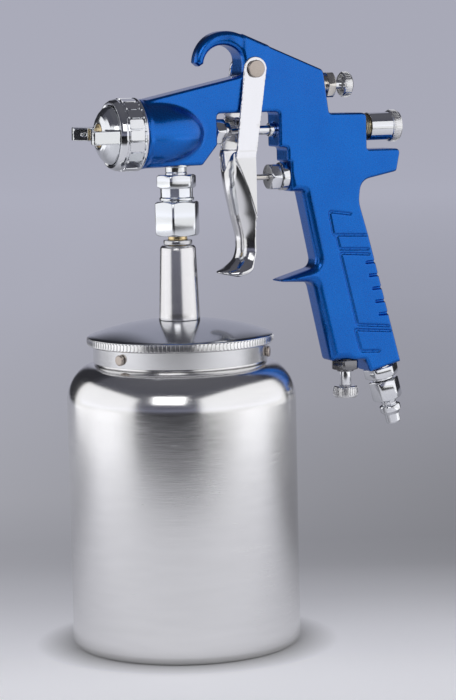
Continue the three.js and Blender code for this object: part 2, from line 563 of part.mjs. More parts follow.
// ---- cup ----------------------------------------------------------------------------------------------------
function cup() {
  const neck = skirtRadius - skirtWall - gap;
  const shoulder = skirtFoot - 0.8 - cupWallTop;
  const wallOf = (inset) => {
    const side = cupRadius - inset;
    const corner = cupBaseCorner - inset / 2;
    const base = [0, 1, 2].map((i) => (i * Math.PI) / 4).map((angle) =>
      [side - corner + corner * Math.sin(angle), inset + corner - corner * Math.cos(angle)]);
    const bend = [0, 1, 2, 3, 4].map((i) => (i * Math.PI) / 8).map((angle) =>
      [neck - inset + (cupRadius - neck) * Math.cos(angle), cupWallTop + (shoulder - inset) * Math.sin(angle)]);
    return [[0, inset], ...base, ...bend, [neck - inset, cupNeckTop]];
  };
  return solid(turned([...wallOf(0), ...wallOf(cupWall).reverse()], widest));
}

add(upright, 'cup', cup(), finishes.satinAluminium);

// ---- pick-up tube ---------------------------------------------------------------------------------------------
// It hangs from the lid's post and bends forwards to the cup's front corner.
function pickupTube(radius) {
  const route = new THREE.CatmullRomCurve3([new THREE.Vector3(0, 0, 139.7), new THREE.Vector3(0, 0, 120),
    new THREE.Vector3(-3, 0, 100), new THREE.Vector3(-22, 0, 50), new THREE.Vector3(-32, 0, tubeFoot + 12)]);
  const section = new THREE.Shape(new THREE.ArcCurve(0, 0, radius, 0, 2 * Math.PI).getPoints(coarse).slice(1));
  return solid(new THREE.ExtrudeGeometry(section, { steps: 8, extrudePath: route }));
}

const strainer = axisGroup(new THREE.Vector3(-32, 0, tubeFoot + 12), new THREE.Vector3(-0.33, 0, -1));
add(upright, 'pickup_tube', cut(pickupTube(tubeRadius), pickupTube(tubeRadius - 1)), finishes.steel);
add(strainer, 'inlet_strainer', cut(solid(turned([[0, 1.6], [6.5, 1.6], [6.5, 8], [5.5, 9.4], [0, 9.4]], middle)),
  solid(rod(5.3, 3, 12)), solid(rod(3, 0, 4))), finishes.steel);

export default gun;
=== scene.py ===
# %% [markdown]
# # A suction-feed paint spray gun
# The gun is a blue lacquered casting on a one-litre aluminium cup. The working model with its
# sizes, joints and collision shapes is made already, and it comes in here as a fixed frame.
# This lesson gives each of its pieces the surface that a person would see and touch: rounded
# edges, chamfers, knurls and finishes. Every place and size is asked of the frame first.

# %% Load the frame
import json
import math

import bmesh
import bpy
import numpy as np
from mathutils import Matrix, Vector


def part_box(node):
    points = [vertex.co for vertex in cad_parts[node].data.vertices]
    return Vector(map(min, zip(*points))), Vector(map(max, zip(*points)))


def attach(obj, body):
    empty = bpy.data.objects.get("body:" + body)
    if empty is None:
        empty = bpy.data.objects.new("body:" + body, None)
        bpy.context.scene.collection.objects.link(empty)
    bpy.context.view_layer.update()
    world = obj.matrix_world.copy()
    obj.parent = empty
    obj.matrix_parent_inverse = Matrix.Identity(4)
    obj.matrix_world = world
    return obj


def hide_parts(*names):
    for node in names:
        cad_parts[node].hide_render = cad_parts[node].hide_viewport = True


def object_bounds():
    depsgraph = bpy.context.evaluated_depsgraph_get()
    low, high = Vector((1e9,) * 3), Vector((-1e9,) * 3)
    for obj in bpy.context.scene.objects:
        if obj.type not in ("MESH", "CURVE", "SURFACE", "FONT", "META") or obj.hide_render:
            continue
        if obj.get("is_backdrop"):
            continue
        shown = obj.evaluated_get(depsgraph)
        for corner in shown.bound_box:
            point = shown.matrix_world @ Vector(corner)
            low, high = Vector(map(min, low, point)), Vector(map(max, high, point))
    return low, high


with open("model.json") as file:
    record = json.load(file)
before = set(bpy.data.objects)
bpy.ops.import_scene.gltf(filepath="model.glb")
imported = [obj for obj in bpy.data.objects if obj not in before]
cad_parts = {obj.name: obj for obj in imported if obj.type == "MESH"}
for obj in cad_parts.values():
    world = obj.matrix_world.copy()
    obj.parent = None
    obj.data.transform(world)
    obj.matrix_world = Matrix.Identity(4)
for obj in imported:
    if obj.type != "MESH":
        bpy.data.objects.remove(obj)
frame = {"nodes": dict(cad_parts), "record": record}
cad_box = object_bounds()
MM = 0.001
record = frame["record"]
body_of = {node: body for body, nodes in record["behaviour"]["bodies"].items() for node in nodes}
slot_of = {part["node"]: part["material_slot"] for part in record["subparts"]}

# %% [markdown]
# ## Where things are
# The pieces are turned about a few axes: the cup's, the barrel's, the two air valves', the air
# inlet's and the trigger's pin. Each axis is read from the box of a round piece that lies on it,
# so the looks follow the working model if one of its sizes is changed. From here on a length
# is in millimetres, and it becomes metres at one place, where a mesh is made.


# %% The axes
def span(node):
    low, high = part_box(node)
    return np.array(low) / MM, np.array(high) / MM


def middle(node):
    low, high = span(node)
    return (low + high) / 2


class Axis:
    """A line that a piece is turned about. Its heights are measured from the start."""

    def __init__(self, start, direction):
        self.start = np.array(start, float)
        self.direction = np.array(direction, float)
        self.turn = np.array(Vector((0, 0, 1)).rotation_difference(Vector(direction)).to_matrix())

    def matrix(self):
        placed = Matrix(self.turn.tolist()).to_4x4()
        placed.translation = Vector(self.start * MM)
        return placed


inlet_mount = next(mount for mount in record["mounts"] if mount["name"] == "air_inlet")
plug_reach = 30
plug_tip = np.array([inlet_mount["pos_m"][0], 0, inlet_mount["pos_m"][2]]) / MM
inlet_way = np.array(inlet_mount["axis"])

cup_axis = Axis((0, 0, 0), (0, 0, 1))
barrel_z = middle("fluid_knob")[2]
barrel_axis = Axis((0, 0, barrel_z), (1, 0, 0))
air_z = middle("air_valve_housing")[2]
air_axis = Axis((0, 0, air_z), (1, 0, 0))
pattern_z = middle("pattern_valve_knob")[2]
pattern_axis = Axis((0, 0, pattern_z), (1, 0, 0))
foot_x = middle("air_adjuster_knob")[0]
foot_z = span("air_adjuster_housing")[1][2] - 10
foot_axis = Axis((foot_x, 0, foot_z), (0, 0, -1))
inlet_axis = Axis(plug_tip - plug_reach * inlet_way, inlet_way)
pin_x, _, pin_z = middle("trigger_pin")
pin_axis = Axis((pin_x, 0, pin_z), (0, 1, 0))
print("barrel at", round(barrel_z, 2), "pin at", round(pin_x, 2), round(pin_z, 2))

# %% [markdown]
# ## The camera and the room
# The gun stands on pale studio paper. Its colour is painted shade that darkens it behind the gun,
# and a painted glow stands for the lamps' light on it. Two tall soft lights stand left
# and right, close to the cup, because bright metal shows its surroundings more than itself: the
# wide pale bands on the cup are the two lights, and the dark band between them is the room.
# A third light hangs over the camera and gives the small bright patch on the cup's shoulder.

# %% The camera
camera_yaw = 22                     # degrees that the gun's side is turned from the camera
camera_pan = 1.09
camera_pitch = 6.72
camera_roll = -1.25
camera_distance = 1.1996
camera_height = 0.2826


def aim(heading, pitch, roll):
    """The camera's right, up and backward directions as the columns of a matrix."""
    heading, pitch, roll = (math.radians(angle) for angle in (heading, pitch, roll))
    ahead = Vector((math.sin(heading) * math.cos(pitch), math.cos(heading) * math.cos(pitch),
                    -math.sin(pitch)))
    level = Vector((math.cos(heading), -math.sin(heading), 0))
    over = level.cross(ahead)
    right = math.cos(roll) * level + math.sin(roll) * over
    up = math.cos(roll) * over - math.sin(roll) * level
    return Matrix((right, up, -ahead)).transposed()


camera = bpy.data.objects.new("camera", bpy.data.cameras.new("camera"))
bpy.context.scene.collection.objects.link(camera)
camera.matrix_world = aim(camera_yaw + camera_pan, camera_pitch, camera_roll).to_4x4()
camera.location = (-camera_distance * math.sin(math.radians(camera_yaw)),
                   -camera_distance * math.cos(math.radians(camera_yaw)), camera_height)
camera.data.lens = 129.5
camera.data.clip_start = 0.01
camera.data.clip_end = 100
bpy.context.scene.camera = camera
print("camera at", [round(value, 3) for value in camera.location])


# %% The lights
def soft_light(name, azimuth, distance, bottom, top, width, strength):
    """A rectangular light that faces the cup. Its strength is how bright its surface is."""
    lamp = bpy.data.lights.new(name, "AREA")
    lamp.shape = "RECTANGLE"
    lamp.size = width
    lamp.size_y = top - bottom
    lamp.energy = strength * math.pi * width * (top - bottom)
    light = bpy.data.objects.new(name, lamp)
    bpy.context.scene.collection.objects.link(light)
    angle = math.radians(azimuth)
    light.location = (distance * math.cos(angle), distance * math.sin(angle), (bottom + top) / 2)
    facing = Vector((math.cos(angle), math.sin(angle), 0))
    light.rotation_euler = facing.to_track_quat("Z", "Y").to_euler()
    return light


soft_light("light_right", -40, 0.75, 0.0, 0.8, 2.06, 0.95)
soft_light("light_left", 160, 0.70, 0.0, 0.6, 1.26, 0.97)
over_camera = soft_light("light_over_camera", -125, 1.6, 0.62, 1.25, 1.0, 2.0)
over_camera.rotation_euler.rotate_axis("X", math.radians(-25))

# %% [markdown]
# ## Node trees as sentences
# A finish is a tree of shader nodes. Wired by hand, such a tree is hard to read, so a socket is
# wrapped in a small class: sums and products of wrapped sockets add their Math nodes, and one
# method adds any other node. The same two classes serve Geometry Nodes too.


# %% Values and boards
class Value:
    """One output socket of a node tree. Arithmetic on it adds Math nodes."""

    def __init__(self, board, socket):
        self.board = board
        self.socket = socket

    def math(self, operation, *terms):
        return self.board.node("ShaderNodeMath", {"operation": operation}, dict(enumerate(terms)))

    def __add__(self, other):
        return self.math("ADD", self, other)

    def __sub__(self, other):
        return self.math("SUBTRACT", self, other)

    def __rsub__(self, other):
        return self.math("SUBTRACT", other, self)

    def __mul__(self, other):
        return self.math("MULTIPLY", self, other)

    def __truediv__(self, other):
        return self.math("DIVIDE", self, other)

    def __pow__(self, other):
        return self.math("POWER", self, other)

    __radd__ = __add__
    __rmul__ = __mul__


class Board:
    """A node tree, with one way to add a node and one way to feed its sockets."""

    def __init__(self, tree):
        self.tree = tree

    def feed(self, made, inputs):
        for name, value in inputs.items():
            if isinstance(value, Value):
                self.tree.links.new(value.socket, made.inputs[name])
            else:
                made.inputs[name].default_value = value

    def node(self, kind, settings=None, inputs=None, output=0):
        made = self.tree.nodes.new(kind)
        for name, value in (settings or {}).items():
            if name == "stops":
                for stop in value[2:]:
                    made.color_ramp.elements.new(stop[0])
                for element, stop in zip(made.color_ramp.elements, value):
                    element.position = stop[0]
                    element.color = stop[1]
            else:
                setattr(made, name, value)
        self.feed(made, inputs or {})
        return Value(self, made.outputs[output])


# %% The paper and the room's light
def tone(level, blue):
    """A grey of a given brightness, with a little blue in it."""
    return (level * (1 - 0.5 * blue), level * (1 - 0.4 * blue), level * (1 + blue), 1)


def ramp(board, share, stops):
    """A colour that changes along a share from 0 to 1. A stop is (share, brightness, blueness)."""
    colors = [(at, tone(level, blue)) for at, level, blue in stops]
    return board.node("ShaderNodeValToRGB", {"stops": colors}, {"Fac": share})


def studio_paper():
    """Pale in front of the gun and dimmer behind it, which is painted shade. A painted glow stands for lamps
    on the paper, and a painted shadow fades it round the cup.
    """
    material = bpy.data.materials.new("studio_paper")
    material.use_nodes = True
    board = Board(material.node_tree)
    place = board.node("ShaderNodeTexCoord", output="Object")
    heading = math.radians(camera_yaw + camera_pan)
    behind = board.node("ShaderNodeVectorMath", {"operation": "DOT_PRODUCT"},
                        {0: place, 1: (math.sin(heading), math.cos(heading), 0)}, "Value")
    beside = board.node("ShaderNodeVectorMath", {"operation": "DOT_PRODUCT"},
                        {0: place, 1: (math.cos(heading), -math.sin(heading), 0)}, "Value")
    share = (behind + 1.0) * 0.2
    # Painted shade in the paper's colour: pale just in front of the gun and darker behind it, where its
    # shadow falls. Far in front it is nearly black, a dark sheet that the cup reflects as the room.
    shade = ramp(board, share, [(0.0, 0.03, 0), (0.08, 0.05, 0), (0.12, 0.66, 0), (0.185, 0.66, 0),
                                (0.20, 0.52, 0), (0.218, 0.30, 0), (0.25, 0.16, 0), (1.0, 0.10, 0)])
    # Painted light: the glow stands for the lamps' light on the paper. It is weaker behind the gun as
    # painted shade, most of all on the right.
    left = ramp(board, share, [(0.09, 0.0, 0.05), (0.12, 0.42, 0.05), (0.185, 0.42, 0.06),
                               (0.205, 0.39, 0.07), (0.24, 0.28, 0.08), (0.28, 0.335, 0.08),
                               (0.37, 0.355, 0.10), (0.54, 0.39, 0.12), (0.93, 0.41, 0.13)])
    right = ramp(board, share, [(0.09, 0.0, 0.05), (0.12, 0.42, 0.05), (0.185, 0.40, 0.06),
                                (0.203, 0.35, 0.07), (0.235, 0.15, 0.08), (0.28, 0.185, 0.08),
                                (0.37, 0.27, 0.10), (0.54, 0.33, 0.12), (0.93, 0.40, 0.13)])
    aside = board.node("ShaderNodeClamp", None, {0: beside * 2.6 + 0.5})
    both = board.node("ShaderNodeMix", {"data_type": "RGBA"}, {0: aside, 6: left, 7: right}, 2)
    apart = board.node("ShaderNodeMath", {"operation": "ABSOLUTE"}, {0: beside})
    reach = board.node("ShaderNodeVectorMath", {"operation": "LENGTH"}, {0: place}, "Value")
    # A painted shadow round the cup: the glow fades to nothing within about 51 mm of the cup's axis, and it
    # is full beyond about 73 mm.
    outside_painted_shadow = board.node("ShaderNodeClamp", None, {0: reach * 45 - 2.3})
    # Painted light: the glow is strongest in a broad band through the gun and weaker far to the sides.
    lit = board.node("ShaderNodeClamp", None, {0: 2.2 - apart * 1.4, "Min": 0.04}) * outside_painted_shadow
    glow = board.node("ShaderNodeMix", {"data_type": "RGBA"}, {0: lit, 6: (0, 0, 0, 1), 7: both}, 2)
    shader = material.node_tree.nodes["Principled BSDF"]
    board.feed(shader, {"Base Color": shade, "Roughness": 0.75, "Specular IOR Level": 0.2,
                        "Emission Color": glow, "Emission Strength": 1.0})
    return material


def backdrop():
    """A sheet of paper that lies under the gun and curves up far behind it."""
    heading = math.radians(camera_yaw + camera_pan)
    ahead = np.array([math.sin(heading), math.cos(heading), 0])
    across = np.array([math.cos(heading), -math.sin(heading), 0])
    front, bend_start, bend_radius, top, half_width = -8, 4, 2, 8, 9
    bend = [(bend_start + bend_radius * math.sin(a), bend_radius - bend_radius * math.cos(a))
            for a in np.linspace(0.1, 1.57, 14)]
    path = [(front, 0), (bend_start, 0), *bend, (bend_start + bend_radius, top)]
    sides = (-half_width, half_width)
    points = [v * ahead + side * across + np.array([0, 0, h]) for v, h in path for side in sides]
    faces = [(2 * i, 2 * i + 1, 2 * i + 3, 2 * i + 2) for i in range(len(path) - 1)]
    paper = bpy.data.meshes.new("paper")
    paper.from_pydata([tuple(point) for point in points], [], faces)
    paper.polygons.foreach_set("use_smooth", [True] * len(faces))
    paper.materials.append(studio_paper())
    sheet = bpy.data.objects.new("paper", paper)
    bpy.context.scene.collection.objects.link(sheet)
    sheet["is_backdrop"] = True
    world = bpy.data.worlds.new("room")
    bpy.context.scene.world = world
    world.use_nodes = True
    board = Board(world.node_tree)
    place = board.node("ShaderNodeTexCoord", output="Generated")
    height = board.node("ShaderNodeSeparateXYZ", inputs={0: place}, output="Z")
    light = ramp(board, height, [(0.0, 0.24, 0.22), (0.03, 0.24, 0.22), (0.12, 0.12, 0.22),
                                 (0.45, 0.08, 0.20), (1.0, 0.12, 0.10)])
    board.feed(world.node_tree.nodes["Background"], {"Color": light, "Strength": 1.0})


bpy.context.scene.view_settings.view_transform = "Standard"
backdrop()

# %% [markdown]
# ## Finishes
# The gun shows one paint and many metals. What tells the metals apart is mostly how they were
# worked: cast and polished, spun and brushed, plated, or cut from brass bar. So each finish is
# a metal colour, a roughness and a fine relief, and the relief lies the way the tool went. Brush
# lines run round the cup, so its pattern is read from the direction to the cup's axis, slowly,
# and from the height, quickly.


# %% Parts that the finishes share
def new_finish(name, color, roughness, metallic=1.0, **sockets):
    material = bpy.data.materials.new(name)
    material.use_nodes = True
    board = Board(material.node_tree)
    shader = material.node_tree.nodes["Principled BSDF"]
    plain = {"Base Color": (*color, 1), "Roughness": roughness, "Metallic": metallic}
    board.feed(shader, plain | {name.replace("_", " "): value for name, value in sockets.items()})
    return material, board, shader


def noise(board, place, scale, detail=3.0, roughness=0.5):
    return board.node("ShaderNodeTexNoise", None,
                      {"Vector": place, "Scale": scale, "Detail": detail, "Roughness": roughness}, "Fac")


def relief(board, height, depth, strength=1.0):
    return board.node("ShaderNodeBump", None,
                      {"Height": height, "Distance": depth, "Strength": strength}, "Normal")


def blend_colors(board, factor, first, second):
    return board.node("ShaderNodeMix", {"data_type": "RGBA"}, {0: factor, 6: first, 7: second}, 2)


def stretched(board, place, scales):
    """Object coordinates with each direction scaled by itself, for marks that run one way."""
    return board.node("ShaderNodeMapping", None, {"Vector": place, "Scale": scales})


def round_the_cup(board, place, around, along):
    """Coordinates whose pattern runs in rings about the cup's axis."""
    parts = [board.node("ShaderNodeSeparateXYZ", inputs={0: place}, output=name) for name in "XYZ"]
    reach = (parts[0] * parts[0] + parts[1] * parts[1]) ** 0.5 + 1e-6
    return board.node("ShaderNodeCombineXYZ", None, {
        0: parts[0] / reach * around, 1: parts[1] / reach * around, 2: parts[2] * along})


# %% The finishes
def blue_lacquer():
    """Metallic lacquer: fine flakes in a deep blue, under a clear coat with a faint orange peel."""
    material, board, shader = new_finish("blue_lacquer", (0.001, 0.11, 0.48), 0.3, 0.94,
                                         Coat_Weight=0.4, Coat_Roughness=0.05, Coat_IOR=1.45)
    place = board.node("ShaderNodeTexCoord", output="Object")
    flake = noise(board, place, 2600.0, 1.0)
    cloud = noise(board, place, 45.0, 2.0)
    share = (flake - 0.5) * 0.6 + (cloud - 0.5) * 0.5 + 0.5
    color = blend_colors(board, share, (0.0005, 0.082, 0.41, 1), (0.0015, 0.165, 0.62, 1))
    peel = noise(board, place, 420.0, 1.0)
    board.feed(shader, {"Base Color": color, "Roughness": 0.23 + flake * 0.1,
                        "Normal": relief(board, peel, 0.00002, 0.25)})
    return material


def plated(name, color, roughness, wear=0.05):
    """Bright plate: nearly a mirror, with faint cloudiness where hands and wipes dulled it."""
    material, board, shader = new_finish(name, color, roughness)
    place = board.node("ShaderNodeTexCoord", output="Object")
    cloud = noise(board, place, 260.0, 4.0, 0.6)
    fine = noise(board, place, 1500.0, 2.0)
    board.feed(shader, {"Roughness": roughness + (cloud - 0.4) * wear,
                        "Normal": relief(board, fine, 0.000004, 0.3)})
    return material


def spun(name, color, roughness, depth, around=5.0, along=2400.0, bright_from=9.0, **sockets):
    """Metal brushed while it turned about the cup's axis. Above a height it is polished too."""
    material, board, shader = new_finish(name, color, roughness, **sockets)
    place = board.node("ShaderNodeTexCoord", output="Object")
    rings = noise(board, round_the_cup(board, place, around, along), 1.0, 4.0, 0.65)
    broad = noise(board, round_the_cup(board, place, around * 0.5, along * 0.12), 1.0, 2.0)
    cloud = noise(board, place, 24.0, 3.0)
    tint = blend_colors(board, rings * 0.6 + broad * 0.4, (*[value * 0.9 for value in color], 1),
                        (*[min(1, value * 1.07) for value in color], 1))
    height = board.node("ShaderNodeSeparateXYZ", inputs={0: place}, output="Z")
    polish = board.node("ShaderNodeClamp", None, {0: (height - bright_from) * 90})
    rough = roughness + (rings - 0.5) * 0.2 + (cloud - 0.5) * 0.12 - polish * 0.06
    board.feed(shader, {"Base Color": tint, "Normal": relief(board, rings + broad * 0.5, depth, 0.6),
                        "Roughness": rough})
    return material


def polished(name, color, roughness, scales=(300, 300, 60)):
    """Metal polished by hand, with soft marks along one direction."""
    material, board, shader = new_finish(name, color, roughness)
    place = board.node("ShaderNodeTexCoord", output="Object")
    marks = noise(board, stretched(board, place, scales), 1.0, 4.0, 0.6)
    wave = noise(board, place, 90.0, 1.0)
    board.feed(shader, {"Roughness": roughness + (marks - 0.5) * 0.12,
                        "Normal": relief(board, marks * 0.3 + wave, 0.00003, 0.2)})
    return material


def speckled(name, color, roughness):
    """Nickel or dull plate with a fine grain."""
    material, board, shader = new_finish(name, color, roughness)
    place = board.node("ShaderNodeTexCoord", output="Object")
    grain = noise(board, place, 1800.0, 3.0, 0.7)
    tint = blend_colors(board, grain, (*[value * 0.75 for value in color], 1),
                        (*[min(1, value * 1.2) for value in color], 1))
    board.feed(shader, {"Base Color": tint, "Roughness": roughness + (grain - 0.5) * 0.25,
                        "Normal": relief(board, grain, 0.00002, 0.3)})
    return material


def rubber():
    material, board, shader = new_finish("seal_rubber", (0.02, 0.02, 0.022), 0.7, 0.0)
    place = board.node("ShaderNodeTexCoord", output="Object")
    grain = noise(board, place, 1400.0, 2.0)
    board.feed(shader, {"Roughness": 0.6 + grain * 0.2, "Normal": relief(board, grain, 0.00002, 0.4)})
    return material


finishes = {
    "lacquer": blue_lacquer(),
    "chrome": plated("chrome_plate", (0.78, 0.79, 0.81), 0.08),
    "dull_chrome": plated("dull_chrome", (0.80, 0.81, 0.84), 0.20, 0.15),
    "cup": spun("brushed_cup", (0.83, 0.825, 0.82), 0.23, 0.00002, bright_from=0.112, Anisotropic=0.35),
    "skirt": spun("brushed_lid", (0.84, 0.84, 0.84), 0.2, 0.000005, 9.0, 3000.0),
    "dome": spun("polished_lid", (0.60, 0.62, 0.65), 0.14, 0.000004, 4.0, 900.0),
    "post": spun("polished_post", (0.80, 0.79, 0.79), 0.22, 0.000008, 3.0, 2600.0),
    "trigger": polished("polished_trigger", (0.76, 0.76, 0.77), 0.13),
    "knob": speckled("satin_knob", (0.80, 0.80, 0.80), 0.24),
    "champagne": speckled("nickel", (0.74, 0.71, 0.66), 0.22),
    "pin": speckled("pin_nickel", (0.50, 0.44, 0.39), 0.34),
    "brass": polished("turned_brass", (0.76, 0.59, 0.32), 0.22),
    "old_brass": polished("thread_brass", (0.42, 0.37, 0.25), 0.32),
    "cast_chrome": plated("cast_chrome", (0.78, 0.80, 0.82), 0.13, 0.08),
    "steel": polished("bright_steel", (0.60, 0.60, 0.61), 0.22),
    "black": plated("black_plate", (0.22, 0.22, 0.23), 0.2, 0.1),
    "rubber": rubber(),
}
slot_finish = {"blue_paint": "lacquer", "chrome": "chrome", "polished_aluminium": "dome",
               "satin_aluminium": "knob", "brass": "brass", "steel": "steel", "black_steel": "black",
               "seal": "rubber"}
for node, thing in frame["nodes"].items():
    thing.data.materials.clear()
    thing.data.materials.append(finishes[slot_finish[slot_of[node]]])
print(len(finishes), "finishes")

# %% [markdown]
# ## Turned pieces
# Most of the small pieces came off a lathe, so they are a profile turned about an axis. A sharp
# corner looks false in a picture, because a real edge is always broken a little and catches the
# light. So a profile's corners are eased by a small arc before it is turned, and the surface is
# shaded smooth except where two faces still meet at a clear angle.


# %% Profiles, skins and pieces
def eased(corners, radius=0.25, steps=3, closed=True):
    """The corners of a profile, each rounded. A corner may give its own rounding as a third number."""
    points = []
    count = len(corners)
    for i, corner in enumerate(corners):
        here = np.array(corner[:2], float)
        ease = corner[2] if len(corner) > 2 else radius
        if ease == 0 or (not closed and i in (0, count - 1)):
            points.append(here)
            continue
        back = np.array(corners[i - 1][:2], float) - here
        on = np.array(corners[(i + 1) % count][:2], float) - here
        back_length, on_length = np.linalg.norm(back), np.linalg.norm(on)
        back, on = back / back_length, on / on_length
        half = math.acos(np.clip(back @ on, -1, 1)) / 2
        reach = min(ease / max(math.tan(half), 1e-6), 0.48 * min(back_length, on_length))
        start, end = here + back * reach, here + on * reach
        for share in np.linspace(0, 1, steps + 1):
            points.append((1 - share) ** 2 * start + 2 * share * (1 - share) * here + share ** 2 * end)
    return np.array(points)


def skin(rings, closed):
    """Points and faces of a surface through rings of points."""
    count, sides = rings.shape[:2]
    faces = []
    for i in range(count if closed else count - 1):
        for j in range(sides):
            row, next_row = i * sides, (i + 1) % count * sides
            faces.append((row + j, row + (j + 1) % sides, next_row + (j + 1) % sides, next_row + j))
    return rings.reshape(-1, 3), faces


def turned(corners, sides=96, radius=0.25, steps=3):
    """A profile of (radius, height) turned about +Z. It closes on the axis, or else on itself."""
    on_axis = corners[0][0] == 0
    profile = eased(corners, radius, steps, closed=not on_axis)
    angles = np.arange(sides) * 2 * math.pi / sides
    rings = np.array([[(r * math.cos(a), r * math.sin(a), h) for a in angles] for r, h in profile])
    return new_mesh(*skin(rings, closed=not on_axis))


def new_mesh(points, faces, sharp=38):
    """A mesh from points in millimetres, closed and with its faces outwards."""
    mesh = bpy.data.meshes.new("mesh")
    mesh.from_pydata((np.asarray(points) * MM).tolist(), [], faces)
    tidy = bmesh.new()
    tidy.from_mesh(mesh)
    bmesh.ops.remove_doubles(tidy, verts=tidy.verts, dist=0.0004 * MM)
    bmesh.ops.recalc_face_normals(tidy, faces=tidy.faces)
    tidy.to_mesh(mesh)
    tidy.free()
    return shade(mesh, sharp)


def shade(mesh, sharp=38):
    mesh.polygons.foreach_set("use_smooth", [True] * len(mesh.polygons))
    mesh.set_sharp_from_angle(angle=math.radians(sharp))
    return mesh


def piece(name, mesh, axis, finish, *nodes):
    """A finished piece. It takes its body from the nodes that it stands for."""
    mesh.transform(axis.matrix())
    mesh.name = name
    mesh.materials.clear()
    mesh.materials.append(finishes[finish])
    made = bpy.data.objects.new(name, mesh)
    bpy.context.scene.collection.objects.link(made)
    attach(made, body_of[nodes[0]])
    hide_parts(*nodes)
    print(f"{name}: {len(mesh.polygons)} faces for {', '.join(nodes)}")


def second_finish(mesh, finish, chosen):
    """Another finish on the faces whose centres are chosen."""
    mesh.materials.append(finishes[finish])
    for face in mesh.polygons:
        face.material_index = int(chosen(face.center))


def evaluated(mesh, add_modifier):
    """The mesh as a modifier leaves it."""
    carrier = bpy.data.objects.new("carrier", mesh)
    bpy.context.scene.collection.objects.link(carrier)
    add_modifier(carrier)
    graph = bpy.context.evaluated_depsgraph_get()
    result = bpy.data.meshes.new_from_object(carrier.evaluated_get(graph), depsgraph=graph)
    bpy.data.objects.remove(carrier)
    return result


# %% [markdown]
# ## Hexagons
# A nut is cut from hexagonal bar and then turned at its ends, and where the cone of the turning
# tool meets the six flats it leaves the curved edges that make a nut look like a nut. A formula
# gives them: at every angle the flat stands at its own distance from the axis, and the cone
# is lower there the further out that is.


# %% Hexagonal pieces
def hexed(flats, low, high, bore, ends=(1, 1), cone=30, sides=144, spin=0):
    """A hexagonal bar about +Z with a bore. Each end may be turned to a cone. Spin is in degrees."""
    angles = np.arange(sides) * 2 * math.pi / sides
    off_flat = (angles - math.radians(spin) + math.pi / 6) % (math.pi / 3) - math.pi / 6
    half = flats / 2
    reach = np.minimum(half / np.cos(off_flat), half / math.cos(math.pi / 6) - 0.25)
    face = half * 0.97
    slope = math.tan(math.radians(cone))
    edge = 0.22

    def ring(radii, heights):
        radii = np.broadcast_to(radii, angles.shape)
        heights = np.broadcast_to(heights, angles.shape)
        return np.stack([radii * np.cos(angles), radii * np.sin(angles), heights], axis=1)

    drop = [(reach - face) * slope * end for end in ends]
    foot, top = low + drop[0], high - drop[1]
    rings = [ring(bore, low + 0.2), ring(bore + 0.2, low), ring(face - edge, low),
             ring(face, low + 0.02), ring(reach - edge, foot - edge * slope * ends[0]),
             ring(reach - edge * 0.3, foot + edge * 0.3), ring(reach, foot + edge),
             ring(reach, top - edge), ring(reach - edge * 0.3, top - edge * 0.3),
             ring(reach - edge, top + edge * slope * ends[1]), ring(face, high - 0.02),
             ring(face - edge, high), ring(bore + 0.2, high), ring(bore, high - 0.2)]
    return new_mesh(*skin(np.array(rings), closed=True), sharp=32)


def joined(*meshes):
    """Several meshes as one. Each stays a closed shell of its own."""
    whole = bmesh.new()
    for mesh in meshes:
        whole.from_mesh(mesh)
    result = bpy.data.meshes.new("mesh")
    whole.to_mesh(result)
    whole.free()
    return result


# %% [markdown]
# ## Ribs and coils by Geometry Nodes
# A knurl is one small rib repeated round a knob, and the ring that holds the air cap has broad
# flat pads with round ends instead. Both are the same recipe with other sizes: a rounded
# rectangle is filled, raised and narrowed at the top, and set round the axis as many times as asked.
# Instances keep the tree light, and they are realized at its end because a finished piece is one
# plain mesh. A second recipe winds a wire into a coil, which makes the crests of the stud's thread.


# %% The two recipes
def new_recipe(name, sizes):
    tree = bpy.data.node_groups.new(name, "GeometryNodeTree")
    tree.interface.new_socket("Geometry", in_out="INPUT", socket_type="NodeSocketGeometry")
    tree.interface.new_socket("Geometry", in_out="OUTPUT", socket_type="NodeSocketGeometry")
    for size, kind in sizes.items():
        tree.interface.new_socket(size, in_out="INPUT", socket_type=f"NodeSocket{kind}")
    board = Board(tree)
    entry = tree.nodes.new("NodeGroupInput")
    given = {socket.name: Value(board, socket) for socket in entry.outputs if socket.name}
    return tree, board, given


def finish_recipe(board, given, shapes):
    everything = board.tree.nodes.new("GeometryNodeJoinGeometry")
    for shape in shapes:
        board.tree.links.new(shape.socket, everything.inputs[0])
    plain = board.node("GeometryNodeRealizeInstances", None, {0: Value(board, everything.outputs[0])})
    coloured = board.node("GeometryNodeSetMaterial", None,
                          {"Geometry": plain, "Material": given["Material"]})
    exit_node = board.tree.nodes.new("NodeGroupOutput")
    board.feed(exit_node, {0: coloured})


